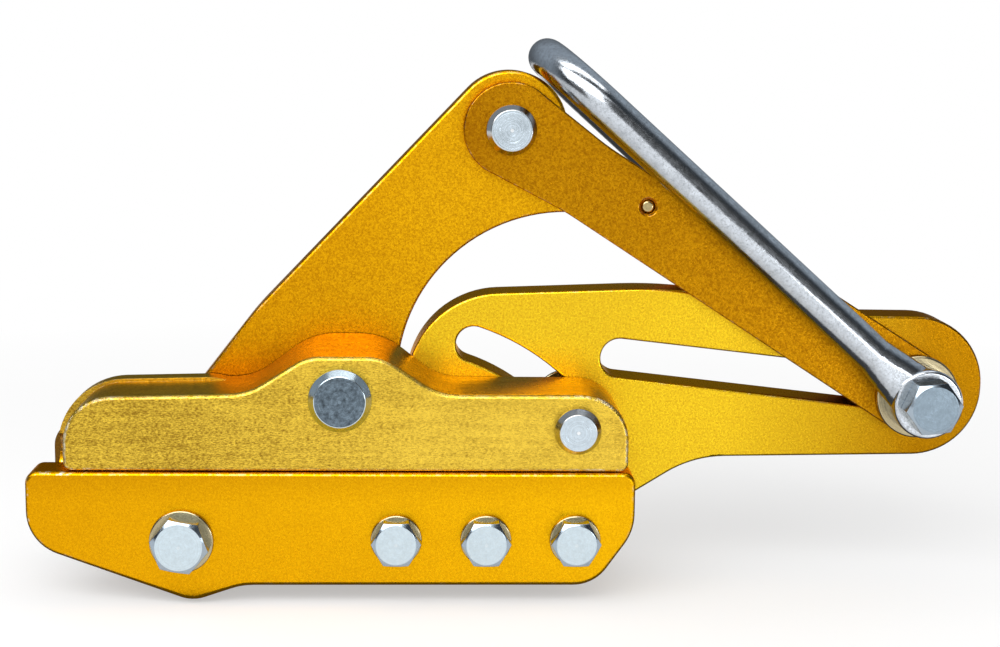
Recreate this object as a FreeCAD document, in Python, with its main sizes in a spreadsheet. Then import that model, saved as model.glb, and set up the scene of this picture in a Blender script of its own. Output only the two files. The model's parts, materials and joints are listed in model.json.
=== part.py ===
import FreeCAD, Part
import math
import os
import Sketcher
from FreeCAD import Placement, Rotation, Vector

# Self-gripping conductor clamp, millimetres.
# The cable lies along X between two jaws and its axis is the line y = 0, z = 0.
# X = 0 is the line of the jaw pin, +X points to the pulling end, +Y to the back and +Z up.

DOCUMENT = FreeCAD.newDocument("ConductorClamp")
SHEET = DOCUMENT.addObject("Spreadsheet::Sheet", "Sizes")

# Pivots, seen from the front
PIVOTS = {
    "fulcrum_back": (65.2, "fulcrum bolt, left of the jaw pin"),
    "fulcrum_drop": (29.0, "fulcrum bolt, below the cable axis"),
    "jaw_pin_rise": (30.8, "jaw pin above the cable axis"),
    "guide_ahead": (97.4, "guide pin, right of the jaw pin"),
    "guide_rise": (18.4, "guide pin above the cable axis"),
    "top_ahead": (70.2, "top pin, right of the jaw pin"),
    "top_rise": (139.5, "top pin above the cable axis"),
    "pull_ahead": (247.3, "pull bolt, right of the jaw pin"),
    "pull_rise": (26.75, "pull bolt above the cable axis"),
    "slot_slope": (6.37, "fall of the long slot to the right, degrees"),
    "bow_angle": (138.45, "lean of the folded bow above +X, degrees"),
}

# Layers from front to back
LAYERS = {
    "cable_depth": (28.0, "cable axis behind the front of the jaws"),
    "jaw_depth": (42.0, "front jaw block, front to back"),
    "plate_thickness": (21.0, "tail plate, which also spaces the cheek"),
    "cheek_thickness": (17.0, "rear cheek"),
    "swing_gap": (0.5, "free space on each side of the lever"),
    "link_thickness": (8.0, "pull link"),
    "link_gap": (0.4, "free space between a link and the tail plate"),
    "washer_gap": (0.3, "free space between a loose washer and its neighbour"),
    "bow_washer_thickness": (3.0, "washer between link and bow eye"),
    "eye_width": (17.0, "bow eye along the pull bolt"),
    "flange_depth": (9.8, "rear flange of the moving jaw"),
}

# Lower jaw block and rear cheek
BLOCK = {
    "block_left": (128.7, "left end of the block from the jaw pin line"),
    "block_right": (122.2, "right end of the block from the jaw pin line"),
    "block_height": (48.2, "block below the cable axis"),
    "block_lip_round": (5.0, "upper left corner"),
    "block_nose_round": (5.0, "upper right corner"),
    "heel_height": (30.3, "lower left corner below the cable axis"),
    "heel_round": (19.0, "lower left corner"),
    "bulge_lead": (4.1, "bottom bulge, right of the fulcrum"),
    "bulge_drop": (6.9, "bottom bulge below the block"),
    "bulge_round": (15.0, "bottom bulge"),
    "bulge_run": (20.4, "bulge corner to the flat bottom"),
    "bulge_blend": (30.0, "bulge into the flat bottom"),
    "toe_length": (16.5, "lower right slant along X"),
    "toe_height": (25.0, "lower right slant below the cable axis"),
    "toe_round": (17.0, "lower right corner"),
    "toe_upper_round": (22.0, "end of the lower right slant"),
    "edge_round": (2.0, "front and back edges of the jaws"),
    "groove_diameter": (20.0, "cable groove with the jaws closed"),
    "jaw_seam": (0.4, "gap between the closed jaws"),
    "mouth_relief": (11.0, "slanted cut at the rear left mouth along X"),
    "lip_depth": (20.0, "front lip that stays at the rear left mouth"),
    "horn_rise": (8.0, "top of the cheek's horn above the cable axis"),
    "horn_round": (11.0, "upper left corner of the horn"),
    "horn_length": (30.0, "horn of the cheek along X"),
    "horn_fall": (14.0, "slant from the horn down to the cheek's top"),
    "horn_blend": (12.0, "both ends of the horn's slant"),
}

# Moving jaw, front outline
JAW = {
    "jaw_left": (113.1, "left end of the moving jaw"),
    "jaw_right": (119.0, "right end of the moving jaw"),
    "jaw_foot_round": (3.5, "lower corners of the moving jaw"),
    "jaw_end_round": (20.0, "upper left corner"),
    "jaw_flat_left": (31.0, "top of the jaw at its left end"),
    "jaw_flat_height": (32.8, "top of the jaw beside the hump"),
    "hump_height": (48.3, "top of the hump"),
    "hump_foot_left": (38.0, "left foot of the hump"),
    "hump_foot_right": (40.7, "right foot of the hump"),
    "hump_top_left": (13.5, "left corner of the hump"),
    "hump_top_right": (16.9, "right corner of the hump"),
    "hump_foot_round": (26.0, "feet of the hump"),
    "hump_top_round": (20.0, "corners of the hump"),
    "jaw_nose_round": (19.5, "upper right corner"),
    "jaw_straight_depth": (4.0, "front of the moving jaw before the hump rises"),
    "hump_rear_rise": (3.2, "hump higher at the back"),
    "hump_rear_round": (30.0, "corners of the hump at the back"),
    "flange_left": (120.8, "left end of the rear flange"),
    "flange_end_round": (29.0, "upper left corner of the flange"),
    "flange_foot_round": (1.5, "lower left corner of the flange"),
    "flange_flat_left": (32.2, "top of the flange at its left end"),
    "flange_flat_height": (34.2, "top of the flange beside the hump"),
    "flange_lap": (10.0, "flange inside the hump along X"),
}

# Lever
LEVER = {
    "lever_end_radius": (24.6, "upper end round the top pin"),
    "lever_slope": (46.5, "left edge above +X, degrees"),
    "lever_edge_length": (131.3, "straight part of the left edge"),
    "lever_edge_round": (120.0, "bend of the left edge"),
    "lever_waist_back": (72.0, "lower end of the left edge"),
    "lever_waist_rise": (17.0, "lower end of the left edge"),
    "lever_waist_round": (30.0, "left edge into the hub"),
    "lever_hub_radius": (27.0, "hub round the fulcrum"),
    "lever_bay_left": (22.75, "left side of the round bay"),
    "lever_bay_top": (104.2, "top of the round bay"),
    "lever_bay_radius": (72.4, "round bay"),
    "lever_tip_ahead": (101.0, "tip under the link"),
    "lever_tip_round": (4.0, "tip under the link"),
    "lever_knee_rise": (8.0, "lower right corner behind the jaw"),
    "lever_knee_round": (25.0, "lower right corner behind the jaw"),
    "lever_edge_round_off": (1.6, "front and back edges of the lever"),
    "lever_tip_lead": (10.0, "end of the tip's edge on the upper end, degrees above +X"),
    "lever_heel_turn": (45.0, "start of the right edge on the hub, degrees below +X"),
}

# Tail plate
TAIL = {
    "tail_foot_left": (27.2, "left edge above the bolts"),
    "tail_throat_height": (38.0, "start of the rounded front"),
    "tail_throat_round": (28.0, "start of the rounded front"),
    "tail_brow_ahead": (40.0, "rounded front, corner along X"),
    "tail_brow_height": (68.2, "rounded front, corner"),
    "tail_brow_round": (41.0, "rounded front"),
    "tail_crest_ahead": (138.0, "highest place of the top edge"),
    "tail_crest_height": (72.0, "highest place of the top edge"),
    "tail_crest_round": (200.0, "highest place of the top edge"),
    "tail_neck_ahead": (221.0, "end of the falling top edge"),
    "tail_neck_rise": (0.3, "end of the falling top edge above the round end"),
    "tail_neck_round": (60.0, "end of the falling top edge"),
    "tail_end_reach": (31.0, "end of the plate beyond the pull bolt"),
    "tail_end_lift": (2.85, "middle of the round end above the pull bolt"),
    "tail_end_round": (29.9, "round end"),
    "tail_end_half": (30.4, "half height of the round end"),
    "tail_belly_ahead": (152.3, "start of the slant under the plate"),
    "tail_belly_height": (2.6, "start of the slant below the cable axis"),
    "tail_belly_round": (50.0, "start of the slant"),
    "tail_inset": (4.2, "plate inside the block's outline"),
    "tail_corner_round": (4.0, "hidden lower corners"),
    "tail_step_rise": (9.0, "hidden step over the first bolt"),
    "tail_step_round": (8.0, "hidden step over the first bolt"),
    "tail_step_drop": (9.0, "lower end of the hidden step"),
    "tail_toe_inset": (1.0, "hidden lower right corner inside the block's slant"),
    "tail_bolt_wall": (14.1, "plate left of the first bolt"),
    "plate_edge_round": (1.2, "edges of the plate and of its slots"),
    "slot_length": (129.4, "long slot between the centres of its ends"),
    "slot_width": (16.8, "long slot"),
    "guide_shift": (6.0, "centre of the guide slot's arc, left of a true parallel crank"),
    "guide_radius_fit": (0.2, "side clearance of the guide pin in its slot"),
    "guide_start": (1.5, "free end of the guide slot behind the pin, degrees"),
    "guide_sweep": (31.5, "guide slot in front of the pin, degrees"),
}

# Links and bow
LINKAGE = {
    "link_head_radius": (20.0, "link round the top pin"),
    "link_foot_radius": (17.6, "link round the pull bolt"),
    "link_half_width": (16.5, "half width of the link's bar"),
    "link_taper_run": (38.0, "head of the link into its bar"),
    "link_taper_round": (90.0, "head of the link into its bar"),
    "link_edge_round": (0.8, "edges of the link"),
    "foot_slip_across": (4.6, "free travel of the pull bolt across the link"),
    "foot_slip_along": (0.9, "free travel of the pull bolt along the link"),
    "foot_slip_flat": (0.1, "straight part of the end of the link's lower hole"),
    "spacer_along": (66.5, "spacer pin along the link"),
    "spacer_across": (4.6, "spacer pin above the link's middle line"),
    "spacer_diameter": (6.0, "spacer pin's ends"),
    "spacer_body_diameter": (11.0, "spacer pin between the links"),
    "spacer_sink_diameter": (8.2, "countersink at the spacer pin"),
    "spacer_recess": (1.4, "end of the spacer pin below the link's face"),
    "bow_length": (215.5, "pull bolt to the middle of the bend"),
    "bow_rod_diameter": (16.0, "bow rod"),
    "eye_radius": (14.8, "bow eye"),
    "eye_edge_round": (1.5, "edges of the bow eye"),
    "neck_start": (30.0, "rod starts to widen, from the pull bolt"),
    "neck_end": (6.0, "widened rod ends inside the eye, from the pull bolt"),
    "neck_half_width": (12.0, "half width of the widened rod inside the eye"),
    "neck_inset": (0.5, "widened rod inside the flat sides of the eye"),
    "neck_round": (7.4, "corners of the widened rod"),
    "neck_flat": (0.1, "flat left between the corners where the widening starts"),
    "bow_washer_radius": (17.9, "washer beside the bow eye"),
}

# Pins, bolts, washers and nuts
FASTENERS = {
    "pin_fit": (0.05, "radial clearance of a pin or bolt in its bore"),
    "bolt_fit": (0.25, "radial clearance of a plate bolt in its hole"),
    "jaw_pin_diameter": (20.0, "jaw pin"),
    "jaw_pin_head": (26.0, "head of the jaw pin"),
    "jaw_pin_face": (21.0, "face of the jaw pin"),
    "guide_pin_diameter": (15.0, "guide pin"),
    "guide_pin_head": (19.3, "head of the guide pin"),
    "guide_pin_face": (15.2, "face of the guide pin"),
    "top_pin_diameter": (16.0, "top pin"),
    "top_pin_head": (21.2, "head of the top pin"),
    "top_pin_face": (17.2, "face of the top pin"),
    "pin_head_height": (7.0, "pin head in front of its seat"),
    "pin_bevel_height": (3.0, "bevel of a pin head"),
    "retainer_thickness": (2.0, "washer behind a pin"),
    "retainer_overlap": (6.0, "washer beyond its pin, radially"),
    "clip_thickness": (1.5, "clip behind the washer"),
    "clip_overlap": (2.6, "clip beyond its pin, radially"),
    "clip_depth": (0.9, "clip inside its groove, radially"),
    "clip_opening": (50.0, "open part of a clip, degrees"),
    "pin_tail": (2.5, "pin behind its clip"),
    "fulcrum_diameter": (16.0, "fulcrum bolt"),
    "fulcrum_flats": (21.0, "fulcrum bolt across flats"),
    "fulcrum_head_height": (8.8, "head of the fulcrum bolt"),
    "fulcrum_turn": (50.0, "turn of the fulcrum bolt's head, degrees"),
    "fulcrum_washer_radius": (13.2, "washer under the fulcrum bolt"),
    "plate_bolt_diameter": (12.0, "plate bolt"),
    "plate_bolt_flats": (18.0, "plate bolt across flats"),
    "plate_bolt_head_height": (7.5, "head of a plate bolt"),
    "plate_washer_radius": (10.6, "washer under a plate bolt"),
    "plate_bolt_first": (23.1, "first plate bolt, right of the jaw pin"),
    "plate_bolt_pitch": (37.1, "plate bolts along X"),
    "plate_bolt_drop": (28.3, "plate bolts below the cable axis"),
    "flat_washer_thickness": (1.9, "washer under a bolt or nut"),
    "pull_bolt_diameter": (16.0, "pull bolt"),
    "pull_bolt_flats": (21.0, "pull bolt across flats"),
    "pull_bolt_head_height": (10.0, "head of the pull bolt"),
    "pull_bolt_turn": (6.0, "turn of the pull bolt's head, degrees"),
    "bolt_tail": (4.0, "bolt behind its nut"),
    "bolt_tip_bevel": (1.5, "bevel on the end of a bolt"),
    "hex_bevel_share": (0.92, "face of a hexagon as a share of its flats"),
    "nut_share": (0.8, "height of a nut as a share of its bolt's diameter"),
    "washer_bevel_share": (0.2, "broken edge of a washer as a share of its thickness"),
    "pin_bevel_share": (0.4, "bevelled end of a pin as a share of its tail"),
    "hex_bevel_slope": (30.0, "bevel of a hexagon, degrees"),
}


class Size:
    """A length or angle that carries its sheet formula along with its present value."""

    def __init__(self, value, formula):
        self.value = float(value)
        self.formula = formula

    def join(self, other, sign, value):
        return Size(value, "(" + self.formula + sign + other.formula + ")")

    def __add__(self, other):
        other = as_size(other)
        return self.join(other, " + ", self.value + other.value)

    def __sub__(self, other):
        other = as_size(other)
        return self.join(other, " - ", self.value - other.value)

    def __mul__(self, other):
        other = as_size(other)
        return self.join(other, " * ", self.value * other.value)

    def __truediv__(self, other):
        other = as_size(other)
        return self.join(other, " / ", self.value / other.value)

    def __rmul__(self, other):
        return as_size(other) * self

    def __radd__(self, other):
        return as_size(other) + self

    def __rsub__(self, other):
        return as_size(other) - self

    def __neg__(self):
        return Size(-self.value, "(0 - " + self.formula + ")")


def as_size(number):
    """A Size, also from a plain number."""
    if isinstance(number, Size):
        return number
    return Size(number, "(" + repr(float(number)) + ")")


def sine(angle):
    return Size(math.sin(math.radians(angle.value)), "sin(" + angle.formula + ")")


def cosine(angle):
    return Size(math.cos(math.radians(angle.value)), "cos(" + angle.formula + ")")


def tangent(angle):
    return sine(angle) / cosine(angle)


def length_of(across, up):
    squares = across * across + up * up
    return Size(math.sqrt(squares.value), "sqrt(" + squares.formula + ")")


def angle_of(across, up):
    """Angle above +X, in degrees, of a direction that points to the right."""
    ratio = up / across
    return Size(math.degrees(math.atan(ratio.value)), "(atan(" + ratio.formula + ") / 1 deg)")


class Sheet:
    """Driving dimensions by name, as Size values."""

    def __init__(self, groups):
        row = 1
        for group in groups:
            for name, (number, note) in group.items():
                SHEET.set("A" + str(row), str(number))
                SHEET.setAlias("A" + str(row), name)
                SHEET.set("B" + str(row), note)
                setattr(self, name, Size(number, "Sizes." + name))
                row = row + 1


size = Sheet([PIVOTS, LAYERS, BLOCK, JAW, LEVER, TAIL, LINKAGE, FASTENERS])
DOCUMENT.recompute()

ZERO = as_size(0.0)
CUT_MARGIN = as_size(5.0)
CUT_OVERLAP = as_size(1.0)
HALF = as_size(0.5)
FULL_TURN = as_size(360.0)
HEX_SIDES = 6
HEX_TURN = FULL_TURN / HEX_SIDES
PLATE_BOLTS = 3
PLANE_TOLERANCE = 1e-4

# Places of the layers along Y
front_face = -size.cable_depth
jaw_back = front_face + size.jaw_depth
plate_back = jaw_back + size.plate_thickness
cheek_back = plate_back + size.cheek_thickness
lever_front = jaw_back + size.swing_gap
lever_back = plate_back - size.swing_gap
moving_jaw_back = jaw_back - size.swing_gap
flange_front = moving_jaw_back - size.flange_depth
middle = (jaw_back + plate_back) * HALF
front_link_back = jaw_back - size.link_gap
front_link_front = front_link_back - size.link_thickness
rear_link_front = plate_back + size.link_gap
rear_link_back = rear_link_front + size.link_thickness
front_bow_washer_back = front_link_front - size.washer_gap
front_bow_washer_front = front_bow_washer_back - size.bow_washer_thickness
rear_bow_washer_front = rear_link_back + size.washer_gap
rear_bow_washer_back = rear_bow_washer_front + size.bow_washer_thickness
front_eye_back = front_bow_washer_front - size.washer_gap
front_eye_front = front_eye_back - size.eye_width
rear_eye_front = rear_bow_washer_back + size.washer_gap
rear_eye_back = rear_eye_front + size.eye_width
bow_half_span = (rear_eye_front + rear_eye_back) * HALF - middle

# Places of the pivots in the XZ plane
fulcrum = (-size.fulcrum_back, -size.fulcrum_drop)
jaw_pivot = (ZERO, size.jaw_pin_rise)
guide_pivot = (size.guide_ahead, size.guide_rise)
top_pivot = (size.top_ahead, size.top_rise)
pull_pivot = (size.pull_ahead, size.pull_rise)

SUB_PARTS = []


def plane_of(body, role):
    """One of a body's own origin planes."""
    for feature in body.Origin.OriginFeatures:
        if feature.Role == role:
            return feature
    raise ValueError("no plane " + role)


def new_body(label):
    """An empty body whose label is the name of the finished piece."""
    body = DOCUMENT.addObject("PartDesign::Body", label)
    body.Label = label
    SUB_PARTS.append(body)
    return body


def bind(thing, place, amount):
    thing.setExpression(place, amount.formula)


def new_sketch(body, name, role, level):
    """A sketch on a body's plane, moved to a level along that plane's global axis."""
    sketch = body.newObject("Sketcher::SketchObject", name)
    sketch.AttachmentSupport = [(plane_of(body, role), "")]
    sketch.MapMode = "FlatFace"
    offset = -level if role == "XZ_Plane" else level
    sketch.AttachmentOffset = Placement(Vector(0, 0, offset.value), Rotation())
    bind(sketch, "AttachmentOffset.Base.z", offset)
    return sketch


def fix_point(sketch, shape, end, across, up):
    """Hold one point of a sketch at its place from the origin."""
    first = sketch.addConstraint(Sketcher.Constraint("DistanceX", -1, 1, shape, end, across.value))
    bind(sketch, "Constraints[" + str(first) + "]", across)
    second = sketch.addConstraint(Sketcher.Constraint("DistanceY", -1, 1, shape, end, up.value))
    bind(sketch, "Constraints[" + str(second) + "]", up)


def fix_radius(sketch, shape, radius):
    index = sketch.addConstraint(Sketcher.Constraint("Radius", shape, radius.value))
    bind(sketch, "Constraints[" + str(index) + "]", radius)


def draw_circle(sketch, across, up, radius):
    centre = Vector(across.value, up.value, 0)
    shape = sketch.addGeometry(Part.Circle(centre, Vector(0, 0, 1), radius.value))
    fix_point(sketch, shape, 3, across, up)
    fix_radius(sketch, shape, radius)


def corner_points(before, here, after, radius):
    """Ends and centre of the arc that rounds one corner, and the way it turns."""
    back = (before - here).normalize()
    ahead = (after - here).normalize()
    half = math.acos(max(-1.0, min(1.0, back.dot(ahead)))) / 2
    reach = radius / math.tan(half)
    bisector = (back + ahead).normalize()
    centre = here + bisector * (radius / math.sin(half))
    turns_left = back.cross(ahead).z < 0
    return here + back * reach, here + ahead * reach, centre, turns_left


def draw_outline(sketch, corners):
    """A closed outline of straight edges; a corner is across, up and its radius or None."""
    count = len(corners)
    places = [Vector(corner[0].value, corner[1].value, 0) for corner in corners]
    starts = list(places)
    ends = list(places)
    arcs = [None] * count
    turns = [False] * count
    for index, corner in enumerate(corners):
        if corner[2] is None:
            continue
        before = places[index - 1]
        after = places[(index + 1) % count]
        start, end, centre, left = corner_points(before, places[index], after, corner[2].value)
        starts[index] = start
        ends[index] = end
        turns[index] = left
        from_point, to_point = (start, end) if left else (end, start)
        from_angle = math.atan2(from_point.y - centre.y, from_point.x - centre.x)
        to_angle = math.atan2(to_point.y - centre.y, to_point.x - centre.x)
        circle = Part.Circle(centre, Vector(0, 0, 1), corner[2].value)
        arcs[index] = sketch.addGeometry(Part.ArcOfCircle(circle, from_angle, to_angle))
    lines = []
    for index in range(count):
        line = Part.LineSegment(ends[index], starts[(index + 1) % count])
        lines.append(sketch.addGeometry(line))
    for index, corner in enumerate(corners):
        line_in = lines[index - 1]
        line_out = lines[index]
        if corner[2] is None:
            sketch.addConstraint(Sketcher.Constraint("Coincident", line_in, 2, line_out, 1))
            fix_point(sketch, line_out, 1, corner[0], corner[1])
            continue
        arc = arcs[index]
        arc_in, arc_out = (1, 2) if turns[index] else (2, 1)
        mark = sketch.addGeometry(Part.Point(places[index]), True)
        sketch.addConstraint(Sketcher.Constraint("PointOnObject", mark, 1, line_in))
        sketch.addConstraint(Sketcher.Constraint("PointOnObject", mark, 1, line_out))
        sketch.addConstraint(Sketcher.Constraint("Tangent", line_in, 2, arc, arc_in))
        sketch.addConstraint(Sketcher.Constraint("Tangent", arc, arc_out, line_out, 1))
        fix_point(sketch, mark, 1, corner[0], corner[1])
        fix_radius(sketch, arc, corner[2])


def draw_ring_sector(sketch, centre, inner, outer, first, last):
    """A band between two radii and two angles about a centre."""
    corners = []
    for angle in (first, last):
        for radius in (inner, outer):
            corners.append((centre[0] + radius * cosine(angle), centre[1] + radius * sine(angle)))
    points = [Vector(corner[0].value, corner[1].value, 0) for corner in corners]
    middle_point = Vector(centre[0].value, centre[1].value, 0)
    start_line = sketch.addGeometry(Part.LineSegment(points[0], points[1]))
    end_line = sketch.addGeometry(Part.LineSegment(points[2], points[3]))
    for line, first_corner, last_corner in ((start_line, 0, 1), (end_line, 2, 3)):
        fix_point(sketch, line, 1, corners[first_corner][0], corners[first_corner][1])
        fix_point(sketch, line, 2, corners[last_corner][0], corners[last_corner][1])
    for radius, end in ((inner, 1), (outer, 2)):
        circle = Part.Circle(middle_point, Vector(0, 0, 1), radius.value)
        sweep = Part.ArcOfCircle(circle, math.radians(first.value), math.radians(last.value))
        arc = sketch.addGeometry(sweep)
        sketch.addConstraint(Sketcher.Constraint("Coincident", arc, 1, start_line, end))
        sketch.addConstraint(Sketcher.Constraint("Coincident", arc, 2, end_line, end))
        fix_radius(sketch, arc, radius)


def pad(body, sketch, name, thickness):
    """Material from a sketch towards the front, or along the sketch's own normal."""
    feature = body.newObject("PartDesign::Pad", name)
    feature.Profile = sketch
    feature.Length = thickness.value
    bind(feature, "Length", thickness)
    sketch.Visibility = False
    return feature


def cut_through(body, sketch, name):
    """Everything behind a sketch cut away."""
    feature = body.newObject("PartDesign::Pocket", name)
    feature.Profile = sketch
    feature.Type = "ThroughAll"
    return feature


def cut_holes(body, name, level, holes):
    """Round holes towards the back; a hole is a place and a radius."""
    sketch = new_sketch(body, name + "Sketch", "XZ_Plane", level - CUT_MARGIN)
    for place, radius in holes:
        draw_circle(sketch, place[0], place[1], radius)
    return cut_through(body, sketch, name)


def edges_at(feature, level):
    """Names of the edges that lie in the plane of one Y level."""
    names = []
    for index, edge in enumerate(feature.Shape.Edges):
        box = edge.BoundBox
        near = abs(box.YMin - level) < PLANE_TOLERANCE
        far = abs(box.YMax - level) < PLANE_TOLERANCE
        if near and far:
            names.append("Edge" + str(index + 1))
    return names


def round_edges(body, feature, name, levels, radius):
    """Rounded outline edges at the given Y levels."""
    DOCUMENT.recompute()
    names = []
    for level in levels:
        names.extend(edges_at(feature, level.value))
    fillet = body.newObject("PartDesign::Fillet", name)
    fillet.Base = (feature, names)
    fillet.Radius = radius.value
    bind(fillet, "Radius", radius)
    return fillet


def revolve_profile(body, name, corners, turn=FULL_TURN):
    """A turned piece about the body's Y axis; a corner is radius, depth and rounding."""
    sketch = new_sketch(body, name + "Sketch", "XY_Plane", ZERO)
    draw_outline(sketch, corners)
    feature = body.newObject("PartDesign::Revolution", name)
    feature.Profile = sketch
    feature.ReferenceAxis = (sketch, ["V_Axis"])
    feature.Angle = turn.value
    bind(feature, "Angle", turn)
    return feature


def place_body(body, place):
    """Move a turned piece to its axis in the XZ plane."""
    body.Placement = Placement(Vector(place[0].value, 0, place[1].value), Rotation())
    bind(body, "Placement.Base.x", place[0])
    bind(body, "Placement.Base.z", place[1])


def hexagon_reach(flats):
    """Corner of a hexagon from its centre."""
    return flats * HALF / cosine(HEX_TURN * HALF)


def hexagon(flats, turn):
    """Corners of a hexagon round the origin."""
    reach = hexagon_reach(flats)
    corners = []
    for index in range(HEX_SIDES):
        angle = turn + index * HEX_TURN
        corners.append((reach * cosine(angle), reach * sine(angle), None))
    return corners


def bevel_hexagon(body, name, flats, face, towards):
    """Conical bevel on one face of a hexagon; towards is +1 where the solid lies behind."""
    inner = flats * HALF * size.hex_bevel_share
    outer = hexagon_reach(flats) + CUT_OVERLAP
    drop = (outer - inner) * tangent(size.hex_bevel_slope)
    sketch = new_sketch(body, name + "Sketch", "XY_Plane", ZERO)
    lift = face - towards * CUT_OVERLAP
    draw_outline(sketch, [
        (inner, face, None),
        (outer, face + towards * drop, None),
        (outer, lift, None),
        (inner, lift, None),
    ])
    feature = body.newObject("PartDesign::Groove", name)
    feature.Profile = sketch
    feature.ReferenceAxis = (sketch, ["V_Axis"])
    feature.Angle = FULL_TURN.value
    return feature


def block_outline(upper_left):
    """Front outline of the lower jaw block, which the rear cheek shares but for its horn."""
    bulge_place = -size.fulcrum_back + size.bulge_lead
    return upper_left + [
        (-size.block_left, -size.heel_height, size.heel_round),
        (bulge_place, -(size.block_height + size.bulge_drop), size.bulge_round),
        (bulge_place + size.bulge_run, -size.block_height, size.bulge_blend),
        (size.block_right - size.toe_length, -size.block_height, size.toe_round),
        (size.block_right, -size.toe_height, size.toe_upper_round),
        (size.block_right, ZERO, size.block_nose_round),
    ]


def plate_bolt_place(index):
    return (size.plate_bolt_first + index * size.plate_bolt_pitch, -size.plate_bolt_drop)


def plate_bolt_holes():
    radius = size.plate_bolt_diameter * HALF + size.bolt_fit
    return [(plate_bolt_place(index), radius) for index in range(PLATE_BOLTS)]


def cut_cable_groove(body, name):
    """Half round seat for the cable along the whole jaw."""
    sketch = new_sketch(body, name + "Sketch", "YZ_Plane", size.block_right + CUT_MARGIN)
    draw_circle(sketch, ZERO, ZERO, size.groove_diameter * HALF)
    return cut_through(body, sketch, name)


def make_lower_jaw():
    body = new_body("lower_jaw")
    sketch = new_sketch(body, "LowerJawOutline", "XZ_Plane", jaw_back)
    draw_outline(sketch, block_outline([(-size.block_left, ZERO, size.block_lip_round)]))
    block = pad(body, sketch, "LowerJawBlock", size.jaw_depth)
    round_edges(body, block, "LowerJawRounding", [front_face], size.edge_round)
    cut_cable_groove(body, "LowerJawGroove")
    relief = new_sketch(body, "LowerJawMouthSketch", "XY_Plane", CUT_MARGIN)
    draw_outline(relief, [
        (-size.block_left - CUT_MARGIN, front_face + size.lip_depth, None),
        (-size.block_left, front_face + size.lip_depth, None),
        (-size.block_left + size.mouth_relief, jaw_back + CUT_MARGIN, None),
        (-size.block_left - CUT_MARGIN, jaw_back + CUT_MARGIN, None),
    ])
    mouth = body.newObject("PartDesign::Pocket", "LowerJawMouth")
    mouth.Profile = relief
    mouth.Length = (CUT_MARGIN + size.groove_diameter).value
    bind(mouth, "Length", CUT_MARGIN + size.groove_diameter)
    bore = (fulcrum, size.fulcrum_diameter * HALF + size.pin_fit)
    cut_holes(body, "LowerJawHoles", front_face, plate_bolt_holes() + [bore])


def make_rear_cheek():
    body = new_body("rear_cheek")
    sketch = new_sketch(body, "CheekOutline", "XZ_Plane", cheek_back)
    horn_end = -size.block_left + size.horn_length
    draw_outline(sketch, block_outline([
        (horn_end + size.horn_fall, ZERO, size.horn_blend),
        (horn_end, size.horn_rise, size.horn_blend),
        (-size.block_left, size.horn_rise, size.horn_round),
    ]))
    cheek = pad(body, sketch, "CheekPlate", size.cheek_thickness)
    round_edges(body, cheek, "CheekRounding", [cheek_back], size.edge_round)
    bore = (fulcrum, size.fulcrum_diameter * HALF + size.pin_fit)
    cut_holes(body, "CheekHoles", plate_back, plate_bolt_holes() + [bore])


def tail_outline():
    """Outline of the tail plate, from the hidden lower left corner clockwise."""
    left = size.plate_bolt_first - size.tail_bolt_wall
    bottom = -size.block_height + size.tail_inset * HALF
    end = size.pull_ahead + size.tail_end_reach
    end_middle = size.pull_rise + size.tail_end_lift
    toe = size.block_right - size.tail_inset
    neck = end_middle + size.tail_end_half + size.tail_neck_rise
    return [
        (left, bottom, size.tail_corner_round),
        (left, -size.tail_step_drop, size.tail_step_round),
        (size.tail_foot_left, size.tail_step_rise, size.tail_step_round),
        (size.tail_foot_left, size.tail_throat_height, size.tail_throat_round),
        (size.tail_brow_ahead, size.tail_brow_height, size.tail_brow_round),
        (size.tail_crest_ahead, size.tail_crest_height, size.tail_crest_round),
        (size.tail_neck_ahead, neck, size.tail_neck_round),
        (end, end_middle + size.tail_end_half, size.tail_end_round),
        (end, end_middle - size.tail_end_half, size.tail_end_round),
        (size.tail_belly_ahead, -size.tail_belly_height, size.tail_belly_round),
        (toe, -size.toe_height + size.tail_toe_inset, size.tail_corner_round),
        (toe - size.toe_length, bottom, size.tail_corner_round),
    ]


def guide_arc():
    """Centre, radius and rest angle of the arc on which the guide pin travels."""
    centre = (
        size.guide_ahead - size.fulcrum_back - size.guide_shift,
        size.guide_rise - size.jaw_pin_rise - size.fulcrum_drop,
    )
    across = size.guide_ahead - centre[0]
    up = size.guide_rise - centre[1]
    return centre, length_of(across, up), angle_of(across, up)


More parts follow.
